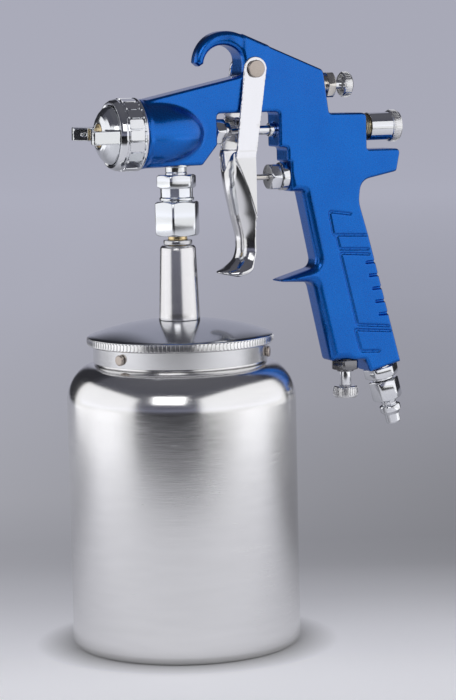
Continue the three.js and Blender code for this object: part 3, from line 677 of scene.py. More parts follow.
def pads_recipe():
    tree, board, given = new_recipe("pads_round_an_axis", {
        "Count": "Int", "Reach": "Float", "Width": "Float", "Length": "Float", "Corner": "Float",
        "Height": "Float", "Taper": "Float", "Middle": "Float", "Material": "Material"})
    outline = board.node("GeometryNodeCurvePrimitiveQuadrilateral", None,
                         {"Width": given["Width"], "Height": given["Length"]})
    soft = board.node("GeometryNodeFilletCurve", {"mode": "POLY"},
                      {"Curve": outline, "Count": 3, "Radius": given["Corner"], "Limit Radius": True})
    sole = board.node("GeometryNodeFillCurve", {"mode": "NGONS"}, {"Curve": soft})
    raised = board.tree.nodes.new("GeometryNodeExtrudeMesh")
    board.feed(raised, {"Mesh": sole, "Offset Scale": given["Height"], "Individual": False})
    narrowed = board.node("GeometryNodeScaleElements", {"domain": "FACE"}, {
        "Geometry": Value(board, raised.outputs["Mesh"]), "Scale": given["Taper"],
        "Selection": Value(board, raised.outputs["Top"])})
    turned_over = board.node("GeometryNodeFlipFaces", None, {"Mesh": sole})
    both = board.tree.nodes.new("GeometryNodeJoinGeometry")
    board.tree.links.new(narrowed.socket, both.inputs[0])
    board.tree.links.new(turned_over.socket, both.inputs[0])
    closed = board.node("GeometryNodeMergeByDistance", None,
                        {"Geometry": Value(board, both.outputs[0]), "Distance": 1e-6})
    offset = board.node("ShaderNodeCombineXYZ", None, {0: given["Reach"], 2: given["Middle"]})
    stood = board.node("GeometryNodeTransform", None, {
        "Geometry": closed, "Translation": offset, "Rotation": (math.pi / 2, 0, math.pi / 2)})
    spots = board.node("GeometryNodePoints", None, {"Count": given["Count"]})
    turn = board.node("GeometryNodeInputIndex") * (2 * math.pi) / given["Count"]
    facing = board.node("FunctionNodeEulerToRotation", None,
                        {0: board.node("ShaderNodeCombineXYZ", None, {2: turn})})
    pads = board.node("GeometryNodeInstanceOnPoints", None,
                      {"Points": spots, "Instance": stood, "Rotation": facing})
    finish_recipe(board, given, [given["Geometry"], pads])
    return tree


def coil_recipe():
    tree, board, given = new_recipe("wound_wire", {
        "Turns": "Float", "Radius": "Float", "Low": "Float", "Length": "Float", "Wire": "Float",
        "Material": "Material"})
    line = board.node("GeometryNodeCurveSpiral", None, {
        "Resolution": 40, "Rotations": given["Turns"], "Start Radius": given["Radius"],
        "End Radius": given["Radius"], "Height": given["Length"]})
    section = board.node("GeometryNodeCurvePrimitiveCircle", None,
                         {"Resolution": 10, "Radius": given["Wire"]})
    wire = board.node("GeometryNodeCurveToMesh", None,
                      {"Curve": line, "Profile Curve": section, "Fill Caps": True})
    offset = board.node("ShaderNodeCombineXYZ", None, {2: given["Low"]})
    lifted = board.node("GeometryNodeTransform", None, {"Geometry": wire, "Translation": offset})
    finish_recipe(board, given, [given["Geometry"], lifted])
    return tree


pads_tree = pads_recipe()
coil_tree = coil_recipe()


def run_recipe(mesh, tree, finish, **sizes):
    """The mesh with what the tree adds to it. Lengths are given in millimetres."""
    values = {"Material": finishes[finish]}
    for name, value in sizes.items():
        values[name.capitalize()] = value if name in ("count", "turns", "taper") else value * MM

    def add_tree(carrier):
        modifier = carrier.modifiers.new("recipe", "NODES")
        modifier.node_group = tree
        for item in tree.interface.items_tree:
            if item.in_out == "INPUT" and item.name in values:
                modifier[item.identifier] = values[item.name]

    result = evaluated(mesh, add_tree)
    tidy = bmesh.new()
    tidy.from_mesh(result)
    bmesh.ops.recalc_face_normals(tidy, faces=tidy.faces)
    tidy.to_mesh(result)
    tidy.free()
    return shade(result, 30)


def knurled(mesh, finish, reach, low, high, count, height=0.4, share=0.62):
    """A knob with straight ribs round it."""
    pitch = 2 * math.pi * reach / count
    return run_recipe(mesh, pads_tree, finish, count=count, reach=reach - 0.25, width=pitch * share,
                      length=high - low, corner=pitch * 0.12, height=height + 0.25,
                      taper=0.72, middle=(low + high) / 2)


print("recipes:", pads_tree.name, coil_tree.name)

# %% [markdown]
# ## The cup
# The cup is spun from one disc of aluminium: a straight wall, a shoulder that is a quarter of
# an ellipse, a neck, and a base with a small round corner. It is brushed while it turns. The
# wall has its thickness inside too, because the model is a thing and not a picture of one.


# %% The cup's wall
cup_high = span("cup")[1]
cup_radius = cup_high[0]
cup_wall = 1.4
lid_low, lid_high = span("lid")
neck_radius = lid_high[0] - 3 - 1.5 - 0.3       # inside the lid's skirt


def cup_profile(inset):
    side = cup_radius - inset
    corner = 4 - inset / 2
    shoulder_z = 118
    shoulder = lid_low[2] - 0.8 - shoulder_z
    base = [(side - corner + corner * math.sin(a), inset + corner - corner * math.cos(a), 0)
            for a in np.linspace(0, math.pi / 2, 7)]
    bend = [(neck_radius - inset + (cup_radius - neck_radius) * math.cos(a),
             shoulder_z + (shoulder - inset) * math.sin(a), 0) for a in np.linspace(0, math.pi / 2, 25)]
    return [(0, inset, 0), *base, *bend, (neck_radius - inset, cup_high[2], 0.3)]


cup_mesh = turned([*cup_profile(0), *cup_profile(cup_wall)[::-1]], sides=160)
piece("cup_wall", cup_mesh, cup_axis, "cup", "cup")

# %% [markdown]
# ## The lid and its post
# The lid is a shallow polished dome with a knurled rim, and a plain brushed skirt with three
# bayonet pins. The post stands on it: a polished tapered tube that carries the gun. Dome and
# skirt are one piece of metal with two finishes, so the mesh holds two materials and its
# faces are given one or the other by their height.


# %% The lid
skirt_foot = lid_low[2]
skirt_radius = lid_high[0] - 3
flange_foot = skirt_foot + 8
rim_top = flange_foot + 4.3
flange_radius = lid_high[0]
post_low, post_high = span("lid_post")
post_base = post_high[0]
lid_hole = 6.5
dome_wall = 2


def dome_height(radius):
    return rim_top - 0.3 + 7.6 * (1 - (radius / flange_radius) ** 2.32)


def lid_mesh():
    radii = np.linspace(1, 0.16, 22) * (flange_radius - 0.9)
    top = [(r, dome_height(r), 0) for r in radii]
    inner_radii = np.linspace(0.2, 0.88, 12) * skirt_radius
    under = [(r, max(dome_height(r) - dome_wall, rim_top - 2.1), 0) for r in inner_radii]
    profile = [(lid_hole, dome_height(lid_hole) - dome_wall, 0), *under,
               (skirt_radius - 1.5, rim_top - 2.1, 0.2),
               (skirt_radius - 1.5, skirt_foot, 0.3), (skirt_radius, skirt_foot, 0.3),
               (skirt_radius, flange_foot, 0.2), (flange_radius - 1, flange_foot, 0.4),
               (flange_radius - 0.4, flange_foot + 0.5, 0.1), (flange_radius - 0.4, rim_top - 0.3, 0.1),
               *top, (lid_hole, dome_height(lid_hole), 0)]
    return turned(profile, sides=160)


def bayonet_pins():
    """Three round heads on the skirt, where the frame's pins are."""
    heads = []
    for i in (1, 2, 3):
        place = middle(f"lid_pin_{i}")
        outward = Vector((place[0], place[1], 0)).normalized()
        start = np.array(outward) * skirt_radius
        start[2] = place[2]
        head = turned([(0, -1), (1.6, -1), (1.6, 0.3), (2.5, 0.3, 0.15), (2.5, 1.4, 0.3), (2.0, 1.8, 0.3),
                       (0, 1.75)], sides=32)
        head.transform(Axis(start, outward).matrix())
        heads.append(head)
    return shade(joined(*heads))


lid_skin = knurled(lid_mesh(), "skirt", flange_radius - 0.45, flange_foot + 0.35, rim_top - 0.25, 140, 0.4)
piece("lid_dome", lid_skin, cup_axis, "dome", "lid")
second_finish(lid_skin, "skirt", lambda centre: centre.z < (rim_top - 0.2) * MM)
piece("bayonet_pins", bayonet_pins(), cup_axis, "pin", "lid_pin_1", "lid_pin_2", "lid_pin_3")

# %% The post and the union
post_foot = dome_height(post_base) + 0.1
post_top = post_high[2]
post_bore = 4.9
piece("post_tube", turned([
    (post_bore, post_low[2]), (6.2, post_low[2]), (6.2, post_foot), (post_base, post_foot, 0.3),
    (post_base - 0.12, post_foot + 4, 0), (8.62, post_top - 2.4, 0.2), (8.45, post_top - 1.1, 0.6),
    (7.5, post_top, 0.5), (post_bore, post_top)], radius=0.2), cup_axis, "post", "lid_post")
collar_low, collar_high = span("post_collar")
piece("grey_collar", turned([
    (post_bore, collar_low[2]), (6.9, collar_low[2], 0.4), (6.9, collar_high[2], 0.7),
    (post_bore, collar_high[2])]), cup_axis, "steel", "post_collar")
tail_low, tail_high = span("fluid_tail")
piece("brass_tail", turned([
    (2.6, tail_low[2]), (4.6, tail_low[2]), (4.6, tail_high[2] - 3.6), (6.6, tail_high[2] - 3.2),
    (6.6, tail_high[2] - 1.4), (5.6, tail_high[2]), (2.6, tail_high[2])]), cup_axis, "brass", "fluid_tail")
nut_low, nut_high = span("union_nut")
piece("union_hexagon", hexed(19.4, nut_low[2], nut_high[2], 4.9, spin=27.5), cup_axis,
      "cast_chrome", "union_nut")

joint_low, joint_high = span("fluid_joint")
joint_body = turned([
    (2.6, joint_low[2]), (7.2, joint_low[2]), (7.2, nut_high[2] + 0.3), (8.3, nut_high[2] + 0.35, 0.3),
    (8.3, nut_high[2] + 1.5, 0.3), (7.75, nut_high[2] + 2, 0.2), (7.75, 219.6, 0.2), (6.4, 219.8),
    (5.2, 225.6), (5.2, 226.6, 0.1), (4.9, 226.9), (5.2, 227.2), (5.2, joint_high[2] - 8.7),
    (6.5, joint_high[2] - 8.6), (6.5, joint_high[2]), (2.6, joint_high[2])], radius=0.15)
joint_hexagon = hexed(16.8, 219.4, 226, 5.0, spin=20)
piece("fluid_elbow", joined(joint_body, joint_hexagon), cup_axis, "cast_chrome", "fluid_joint")

# %% [markdown]
# ## Shapes that were cast
# The casting, the trigger and the air cap have no straight way to be built from faces: a flat
# body flows into a round barrel, and every edge is soft. They are described by a distance instead.
# A function gives, for any point, how far it is outside the metal, or less than zero inside it.
# Two shapes join by taking the smaller distance and part by taking the larger, and a little
# blending between the two makes a fillet. Where the distance is zero is the surface: it is found
# on a grid, one point to a cell, and each point is then slid exactly on to it.


# %% Distances
def smooth_join(first, second, soft):
    share = np.clip(0.5 + 0.5 * (second - first) / soft, 0, 1)
    return second * (1 - share) + first * share - soft * share * (1 - share)


def smooth_cut(first, second, soft=0.3):
    return -smooth_join(-first, second, soft)


def smooth_common(first, second, soft):
    return -smooth_join(-first, -second, soft)


def outline_distance(u, v, outline):
    """Distance to a closed outline of (u, v) points, less than zero inside it."""
    u, v = np.broadcast_arrays(u, v)
    nearest = np.full(u.shape, 1e9)
    inside = np.zeros(u.shape, bool)
    for (au, av), (bu, bv) in zip(outline, np.roll(outline, -1, axis=0)):
        du, dv = bu - au, bv - av
        share = np.clip(((u - au) * du + (v - av) * dv) / (du * du + dv * dv + 1e-12), 0, 1)
        nearest = np.minimum(nearest, (u - au - share * du) ** 2 + (v - av - share * dv) ** 2)
        if av != bv:
            inside ^= ((av > v) != (bv > v)) & (u < du * (v - av) / dv + au)
    return np.where(inside, -1, 1) * np.sqrt(nearest)


def line_distance(u, v, points):
    """Distance to a line through points in a plane."""
    nearest = 1e9
    for (au, av), (bu, bv) in zip(points[:-1], points[1:]):
        du, dv = bu - au, bv - av
        share = np.clip(((u - au) * du + (v - av) * dv) / (du * du + dv * dv), 0, 1)
        nearest = np.minimum(nearest, (u - au - share * du) ** 2 + (v - av - share * dv) ** 2)
    return np.sqrt(nearest)


def slab(flat, across, half, edge):
    """An outline with a thickness, its edges rounded. Flat is the distance to the outline."""
    a, b = flat + edge, np.abs(across) - half + edge
    return np.minimum(np.maximum(a, b), 0) + np.hypot(np.maximum(a, 0), np.maximum(b, 0)) - edge


def rod(x, y, z, axis, radius, low, high):
    """A round rod along an axis, between two heights."""
    offset = [value - start for value, start in zip((x, y, z), axis.start)]
    along = sum(value * way for value, way in zip(offset, axis.direction))
    around = np.sqrt(np.maximum(sum(value * value for value in offset) - along * along, 0))
    return np.maximum(around - radius, np.maximum(low - along, along - high))


# %% From a distance to a mesh
def contour(distance, low, high, step, keep=1.0):
    """The surface where distance(x, y, z) is zero, as a mesh."""
    low = np.array(low, float)
    lines = [np.arange(a, b + step, step) for a, b in zip(low, high)]
    grid = np.meshgrid(*lines, indexing="ij", sparse=True)
    values = np.broadcast_to(distance(*grid), [len(line) for line in lines])
    inside = values < 0
    corners = np.array([(i, j, k) for i in (0, 1) for j in (0, 1) for k in (0, 1)])
    size = np.array(inside.shape) - 1
    count = sum(inside[i:i + size[0], j:j + size[1], k:k + size[2]].astype(np.int8)
                for i, j, k in corners)
    active = (count > 0) & (count < 8)
    cells = np.argwhere(active)
    number = np.full(active.shape, -1, np.int64)
    number[active] = np.arange(len(cells))
    total = np.zeros((len(cells), 3))
    hits = np.zeros(len(cells))
    for a in corners:
        for b in corners:
            if (b - a).min() < 0 or (b - a).sum() != 1:
                continue
            first, second = values[tuple((cells + a).T)], values[tuple((cells + b).T)]
            crossed = (first < 0) != (second < 0)
            share = np.where(crossed, first / np.where(crossed, first - second, 1), 0)
            total += np.where(crossed[:, None], a + share[:, None] * (b - a), 0)
            hits += crossed
    points = low + step * (cells + total / hits[:, None])
    faces = []
    for way in range(3):
        u, v = np.eye(3, dtype=int)[(way + 1) % 3], np.eye(3, dtype=int)[(way + 2) % 3]
        near = np.take(inside, range(inside.shape[way] - 1), axis=way)
        far = np.take(inside, range(1, inside.shape[way]), axis=way)
        for starts, reverse in ((near & ~far, False), (~near & far, True)):
            spots = np.argwhere(starts)
            ring = [number[tuple((spots + offset).T)] for offset in (-u - v, -v, 0 * u, -u)]
            quads = np.stack(ring[::-1] if reverse else ring, axis=1)
            faces.append(quads)
    for _ in range(4):
        points = slid(distance, points, step)
    mesh = new_mesh(points, np.concatenate(faces).tolist(), sharp=50)
    if keep < 1:
        mesh = evaluated(mesh, lambda carrier: thin(carrier, keep))
        shade(mesh, 50)
    return mesh


def slid(distance, points, step, probe=0.03):
    """Points moved along the slope of the distance, on to the surface."""
    value = distance(*points.T)
    slope = np.stack([(distance(*(points + way).T) - distance(*(points - way).T)) / (2 * probe)
                      for way in np.eye(3) * probe], axis=1)
    move = -value[:, None] * slope / np.maximum((slope ** 2).sum(axis=1), 0.25)[:, None]
    length = np.linalg.norm(move, axis=1, keepdims=True)
    return points + move * np.minimum(1, 0.4 * step / np.maximum(length, 1e-9))


def thin(carrier, keep):
    """Fewer triangles where the surface is flat."""
    modifier = carrier.modifiers.new("thin", "DECIMATE")
    modifier.ratio = keep


# %% [markdown]
# ## The casting
# The body is a flat plate 15 mm thick with a hook to hang it by, a window that the trigger
# works in, a handle and a finger rest. The barrel is a bullet shape that sinks into the plate.
# The front of the handle is rounded for the hand more than the rest, so the edge's radius is
# itself a function of where it is. Thin grooves draw panels on the handle, five short
# notches cross its back edge, and each valve has its bore.


# %% The casting's outlines
body_low, body_high = span("gun_body")
ring_high = span("air_cap_ring")[1]
body_front = ring_high[0] + 0.3
body_half = 7.5
barrel_radius = 16.0
hook_centre = (25.3, 277.7)
hook_outer = 15.5
hook_half = 5.2
hole_centre = (23.8, 276.9)
hole_radius = 9.6
crown_slope = math.radians(22.7)
wall_x = hole_centre[0] + hole_radius
underside = barrel_z - barrel_radius + 0.5
bullet_start = body_front + 7.4
bullet_length = 27
groove_radius = 0.62
notch_radius = 0.95
pin_hole = 2.8


def crown(x):
    return hook_centre[1] + hook_outer / math.cos(crown_slope) - (x - hook_centre[0]) * math.tan(crown_slope)


def inlet_pad(side):
    """An end of the slanted face that the air inlet screws into."""
    across = np.array([-inlet_way[2], inlet_way[0]]) * 17.3 / 2 * side
    return inlet_axis.start[[0, 2]] + across


foot_rear, foot_front = inlet_pad(1), inlet_pad(-1)
plate_outline = eased([
    (body_front + 2.4, underside, 0), (body_front + 2.4, barrel_z + barrel_radius, 0),
    (wall_x, 272, 5), (wall_x, crown(wall_x), 0), (75, crown(75), 3),
    (77.9, 252.8, 1.5), (98, 252.5, 3), (98, 234.7, 1), (116.3, 234.5, 2.5), (114, 223.4, 2),
    (94.5, 219.6, 9), (93.3, 209, 14), (98.1, 192.7, 12), (*foot_rear, 0.6), (*foot_front, 1),
    (95.4, foot_z, 0.8), (77.3, foot_z, 2), (68.6, 171, 4), (48, 172.1, 1), (71.2, 178.6, 5),
    (63.6, 215.4, 1.5), (57, 215.6, 1.5), (57, 230, 0.8), (55.5, 230.3, 0.6), (55.5, 237, 2),
    (51.2, 237.3, 0.8), (51.2, 254.2, 2), (18.9, 254.2, 2), (18.9, 239.4, 2), (11, underside, 2)], steps=6)


def hook_outline():
    tip_angle, crown_angle = math.pi * 0.985, math.pi / 2 - crown_slope
    outer = [(hook_centre[0] + hook_outer * math.cos(a), hook_centre[1] + hook_outer * math.sin(a))
             for a in np.linspace(tip_angle, crown_angle, 22)]
    inner = [(hole_centre[0] + hole_radius * math.cos(a), hole_centre[1] + hole_radius * math.sin(a))
             for a in np.linspace(0, math.pi * 0.97, 20)]
    tip = ((outer[0][0] + inner[-1][0]) / 2, (outer[0][1] + inner[-1][1]) / 2 - 1.6)
    return np.array([*outer, (46, crown(46)), (46, 271), (wall_x, 271), *inner, tip])


panel_grooves = [
    eased([(88.1, 203.5, 0), (76.6, 205.2, 1), (78.8, 193.7, 1), (96.9, 192.8, 0)]),
    [(80.6, 192.6), (82.0, 186.7), (97.6, 185.9)],
    eased([(97.9, 183.4, 0), (82.3, 184.6, 1), (90.9, 149.0, 1), (108.3, 147.3, 0)]),
    eased([(102.6, 135.2, 0), (92.6, 135.8, 1), (89.6, 146.6, 0.6), (108.9, 144.9, 0)]),
]
rear_edge = np.array([98.1, 192.7])
rear_way = (foot_rear - rear_edge) / np.linalg.norm(foot_rear - rear_edge)
notch_lines = []
for notch_z in (179.6, 173.1, 166.6, 160.1, 153.8):
    on_edge = rear_edge + rear_way * (notch_z - rear_edge[1]) / rear_way[1]
    notch_lines.append([on_edge + np.array([0.6, 0]), on_edge - np.array([5.0, 0.3])])


# %% The casting's distance
hook_points = hook_outline()
bores = [
    (barrel_axis, 8.8, body_front - 7, -9), (barrel_axis, 5.0, 7, 20), (barrel_axis, 3.6, 50.2, 56),
    (barrel_axis, 6.2, 85, 99), (barrel_axis, 4.0, -10, 8), (barrel_axis, 2.7, 55, 63),
    (barrel_axis, 5.4, 62, 86), (air_axis, 5.3, 56, 88),
    (cup_axis, 6.8, underside - 1.5, barrel_z - 6.5), (pattern_axis, 4.8, 61, 80),
    (foot_axis, 4.8, -16, 1), (inlet_axis, 6.4, -12, 1), (pin_axis, pin_hole, -15, 15),
]


def rise(value):
    """From 0 to 1, smoothly."""
    value = np.clip(value, 0, 1)
    return value * value * (3 - 2 * value)


def casting(x, y, z):
    grip_middle = 82 + (205 - z) * 0.125
    front_of_grip = rise((grip_middle - x) / 6) * rise((226 - z) / 12)
    edge = 1.5 + 2.6 * front_of_grip
    flat = outline_distance(x, z, plate_outline)
    whole = slab(flat, y, body_half, edge)
    hook_half_here = hook_half + 2.2 * rise((x - 20) / 13) - 1.0 * rise((24 - x) / 14) * rise((z - 270) / 4)
    hook = slab(outline_distance(x, z, hook_points), y, hook_half_here, 2.6)
    whole = smooth_join(whole, hook, 2.0)
    around = np.sqrt(y * y + (z - barrel_z) ** 2)
    nose = np.maximum(x - bullet_start, 0) / bullet_length
    share = np.sqrt(nose ** 2 + (around / barrel_radius) ** 2)
    steep = np.sqrt((nose / bullet_length) ** 2 + (around / barrel_radius ** 2) ** 2)
    bullet = share * (share - 1) / np.maximum(steep, 1e-6)
    flare = 0.5 * rise((body_front + 3.2 - x) / 2.4)
    bullet = smooth_common(bullet - flare, body_front - x, 0.8)
    whole = smooth_join(whole, bullet, 1.6)
    whole = smooth_join(whole, rod(x, y, z, barrel_axis, 15, body_front - 6, body_front + 1), 0.1)
    for line in panel_grooves:
        groove = np.hypot(line_distance(x, z, line), np.abs(y) - body_half) - groove_radius
        whole = smooth_cut(whole, groove, 0.35)
    for line in notch_lines:
        off = line_distance(x, z, line)
        depth = np.maximum(body_half - 1.0 - np.abs(y), 0)
        whole = smooth_cut(whole, np.hypot(off * 1.3, depth) - notch_radius, 0.35)
    for axis, radius, low, high in bores:
        whole = smooth_cut(whole, rod(x, y, z, axis, radius, low, high), 0.25)
    return whole


def mirrored_contour(distance, low, high, step, keep):
    """A contour of a shape that is the same on both sides of y = 0."""
    return contour(lambda x, y, z: distance(x, np.abs(y), z), low, high, step, keep)


grid_step = 0.5
body_mesh = mirrored_contour(casting, body_low - (7.6, 1.6, 1.2), body_high + 1.2, grid_step, 0.6)
piece("gun_casting", body_mesh, cup_axis, "lacquer", "gun_body")

# %% [markdown]
# ## The spray head
# The air cap is a small polished dome with two flat horns, and each horn has an air hole that
# flattens the spray. The brass tip of the fluid nozzle looks out of its centre, and the knurled
# ring holds it. The cap sits turned a few degrees, as a user leaves it.

# %% The air cap
cap_low, cap_high = span("air_cap")
cap_turn = math.radians(3.3)
horn_tip = cap_low[0]
horn_half = 3.15
horn_reach = 15.1
cap_face = -39.0
cap_radius = 13.8
cap_profile = np.array([
    (-28.4, 0), (-28.4, 15), (-30.6, 15), (-30.6, cap_radius), (-33.4, cap_radius), (-35.4, 12.9),
    (-37.0, 11.2), (-38.2, 9.2), (cap_face + 0.15, 7.4), (cap_face, 6.6), (cap_face, 0)])


def air_cap(x, y, z):
    local_z = z - barrel_z
    across = y * math.cos(cap_turn) + local_z * math.sin(cap_turn)
    upward = -y * math.sin(cap_turn) + local_z * math.cos(cap_turn)
    around = np.hypot(y, local_z)
    dome = outline_distance(x, around, cap_profile)
    horn_outline = np.array([
        (horn_tip, 12.2), (horn_tip, horn_reach - 0.8), (horn_tip + 0.8, horn_reach),
        (-33.6, horn_reach), (-33.0, 13.0), (-34.6, 8.0), (-41.5, 7.8)])
    horn = slab(outline_distance(x, np.abs(across), horn_outline), upward, horn_half, 0.35)
    whole = smooth_join(dome, horn, 0.5)
    whole = smooth_cut(whole, np.maximum(around - 5.8, x + 37.8), 0.2)
    cone = np.maximum(around - 6.5 - (x + 37.8) * 0.5, np.maximum(-37.9 - x, x + 27))
    whole = smooth_cut(whole, cone, 0.2)
    jet = np.hypot(x - horn_tip - 4.5, upward) - 0.75
    whole = smooth_cut(whole, np.maximum(jet, np.abs(across) - 13.3), 0.15)
    small_jet = np.hypot(np.abs(across) - 9.6, upward) - 0.4
    return smooth_cut(whole, np.maximum(small_jet, x + 36), 0.1)


cap_mesh = contour(air_cap, cap_low - 0.8, cap_high + 0.8, 0.28, 0.6)
piece("cap_with_horns", cap_mesh, cup_axis, "cast_chrome", "air_cap")

# %% The ring and the nozzle
ring_mesh = turned([
    (15.3, -33.2, 0.2), (15.6, -33.2, 0.2), (16.3, -32.3, 0.4), (16.9, -30.8, 0.3), (16.9, -30.0, 0.2),
    (16.3, -29.6, 0.2), (16.5, -29.2, 0.1), (16.5, -21.8, 0.1), (16.3, -21.6, 0.1), (16.9, -21.2, 0.2),
    (ring_high[1], -20.9, 0.2), (ring_high[1], -20.3, 0.2), (16.8, ring_high[0], 0.3),
    (15.3, ring_high[0], 0.2), (15.3, -30.9, 0.1), (14.2, -31.2, 0.1), (14.2, -33.0, 0.2)],
    sides=144, radius=0.15)
ring_mesh = run_recipe(ring_mesh, pads_tree, "chrome", count=20, reach=16.2, width=4.75, length=7.3,
                       corner=0.9, height=1.0, taper=0.93, middle=-25.5)
piece("cap_ring", ring_mesh, barrel_axis, "chrome", "air_cap_ring")
nozzle_high = span("fluid_nozzle")[1]
piece("nozzle_body", turned([
    (0.9, cap_face, 0.1), (5.5, cap_face, 0.3), (6.0, cap_face + 3), (9, -31), (12.5, -29.6),
    (12.5, -27), (8.5, -27), (8.5, nozzle_high[0]), (4, nozzle_high[0]), (4, cap_face + 8),
    (0.9, cap_face + 1.5)], sides=64, radius=0.15), barrel_axis, "brass", "fluid_nozzle")
needle_low, needle_high = span("fluid_needle")
piece("needle_rod", turned([
    (0, needle_low[0]), (0.6, needle_low[0] + 1.6), (1.25, needle_low[0] + 5.4), (1.25, 38.9), (3.4, 38.9),
    (4.2, 39.7), (4.2, 41.5), (2.3, 41.5), (2.3, 64), (4.6, 64), (4.6, 66), (1.25, 66),
    (1.25, needle_high[0]), (0, needle_high[0])], sides=48, radius=0.15), barrel_axis, "chrome",
    "fluid_needle")

# %% [markdown]
# ## The trigger
# Two flat arms hang from the pin, one on each side of the body. Below the body they become
# one rounded channel for the fingers, whose foot curls forward. The channel's nose is flat
# enough at the top to be part of the arms and round at the bottom, so the depth of its ellipse
# grows on the way down. Its top edge dips in the middle, which shows the far arm through it.

# %% The trigger's distance
arm_wall = 1.2
arm_inside = 7.9
arm_splay = math.tan(math.radians(2))
channel_half = 10.4
channel_wall = 1.5
channel_top = 233.0
front_heights = np.array([150, 175, 178.4, 180.6, 183.4, 187, 192, 206, 223, 233, 260])
front_reach = np.array([20.0, 20.0, 20.6, 24.6, 28.2, 30.0, 30.4, 27.6, 24.6, 24.4, 24.4])


def smooth_table(z, heights, values):
    """A soft curve through values at rising heights."""
    place = np.clip(np.searchsorted(heights, z) - 1, 0, len(heights) - 2)
    share = (z - heights[place]) / (heights[place + 1] - heights[place])
    slopes = np.gradient(values, heights)
    length = heights[place + 1] - heights[place]
    a, b = values[place], values[place + 1]
    return ((1 + 2 * share) * (1 - share) ** 2 * a + share * (1 - share) ** 2 * slopes[place] * length
            + share ** 2 * (3 - 2 * share) * b - share ** 2 * (1 - share) * slopes[place + 1] * length)


finger_outline = eased([
    (12, 243, 0), (12, 177.2, 0), (20.8, 177.4, 0.5), (27.4, 175.9, 6), (34.6, 178.0, 5), (37.3, 187, 5),
    (37.3, 243, 0)], steps=6)
hollow_outline = eased([
    (12, 250, 0), (12, 180.2, 0), (22.6, 180.0, 1), (28, 177.9, 4), (33.2, 180.0, 4), (35.7, 187, 4),
    (36.2, 192, 2), (45, 195, 0), (45, 250, 0)], steps=6)
pin_place = np.array([pin_x, pin_z])
arm_top = [pin_place + 5.8 * np.array([math.cos(a), math.sin(a)]) for a in np.linspace(0, math.pi, 24)]
arm_outline = np.array([*arm_top, (27.3, 236), (26.6, 232.6), (29.6, 226), (33.0, 218), (36.6, 206),
                        (37.3, 203), (37.3, 233), (38.0, 237)])


def trigger(x, y, z):
    front = smooth_table(np.clip(z, 151, 259), front_heights, front_reach)
    depth = 13 - 8 * rise((z - 196) / 40)

    def channel(inset):
        back = np.maximum(front + depth - x, 0) / (depth - inset)
        side = np.abs(y) / (channel_half - inset)
        share = np.sqrt(back ** 2 + side ** 2)
        steep = np.sqrt((back / (depth - inset)) ** 2 + (side / (channel_half - inset)) ** 2)
        return share * (share - 1) / np.maximum(steep, 1e-6)

    outside = smooth_common(channel(0), outline_distance(x, z, finger_outline), 1.2)
    hollow = smooth_common(channel(channel_wall), outline_distance(x, z, hollow_outline), 0.6)
    shell = smooth_cut(outside, hollow, 0.5)
    dip = channel_top + 3 - 9.5 * (1 - rise(np.abs(y) / 9.2)) * rise((37 - x) / 6)
    shell = smooth_common(shell, z - dip, 0.6)
    inner_face = arm_inside + (pin_z - np.maximum(z, channel_top)) * arm_splay
    arm_side = np.abs(y) - inner_face - arm_wall / 2
    arms = slab(outline_distance(x, z, arm_outline), arm_side, arm_wall / 2, 0.3)
    whole = smooth_join(shell, arms, 0.5)
    pusher = np.maximum(np.maximum(np.abs(x - 36) - 0.75, np.abs(z - barrel_z) - 6), np.abs(y) - 9.4)
    pusher = smooth_cut(pusher, np.hypot(y, z - barrel_z) - 2.9, 0.2)
    whole = smooth_join(whole, pusher, 0.4)
    return smooth_cut(whole, np.hypot(x - pin_x, z - pin_z) - pin_hole, 0.15)


trigger_low, trigger_high = span("trigger")
trigger_mesh = mirrored_contour(trigger, trigger_low - 1.0, trigger_high + 1.0,
                                0.4, 0.6)
piece("trigger_lever", trigger_mesh, cup_axis, "trigger", "trigger")

# %% [markdown]
# ## The trigger's pin and the small fittings
# The pin is a brass-coloured disc on the near side and a slotted screw on the far side. The
# packing nuts, bushes and valve bodies are lathe work again: hexagons with turned ends, and
# profiles with broken edges.

# %% The pin and its screw
pin_low, pin_high = span("trigger_pin")
piece("pin_with_head", turned([
    (0, pin_low[1]), (3.85, pin_low[1], 0.25), (4.15, pin_low[1] + 0.3, 0.2), (4.15, pin_low[1] + 1.3, 0.1),
    (2.5, pin_low[1] + 1.3), (2.5, pin_high[1]), (0, pin_high[1])], radius=0.1), pin_axis, "pin",
    "trigger_pin")
screw_low, screw_high = span("trigger_pin_screw")


def slotted_head():
    """A flat round head with a slot sunk across it."""
    low, high = screw_low[1], screw_high[1]

    def head(x, y, z):
        around = np.hypot(x, y)
        body = smooth_common(around - 3.6, np.maximum(low - z, z - high + 0.11 * around), 0.25)
        slot = np.maximum(np.abs(x) - 0.45, high - 0.75 - z)
        return smooth_cut(body, slot, 0.12)

    return contour(head, (-4, -4, low - 0.5), (4, 4, high + 0.5), 0.16, 0.5)


piece("pin_screw", slotted_head(), pin_axis, "steel", "trigger_pin_screw")


# %% Nuts and bushes on the barrel
def nut_and_collar(flats, hex_low, hex_high, bore, stages, ends=(1, 1)):
    """A hexagon with a turned part on one or both of its sides. Stages are (radius, low, high)."""
    parts = [hexed(flats, hex_low, hex_high, bore, ends)]
    for radius, low, high in stages:
        parts.append(turned([(bore, low), (radius, low, 0.3), (radius, high, 0.3), (bore, high)], sides=64))
    return shade(joined(*parts), 32)


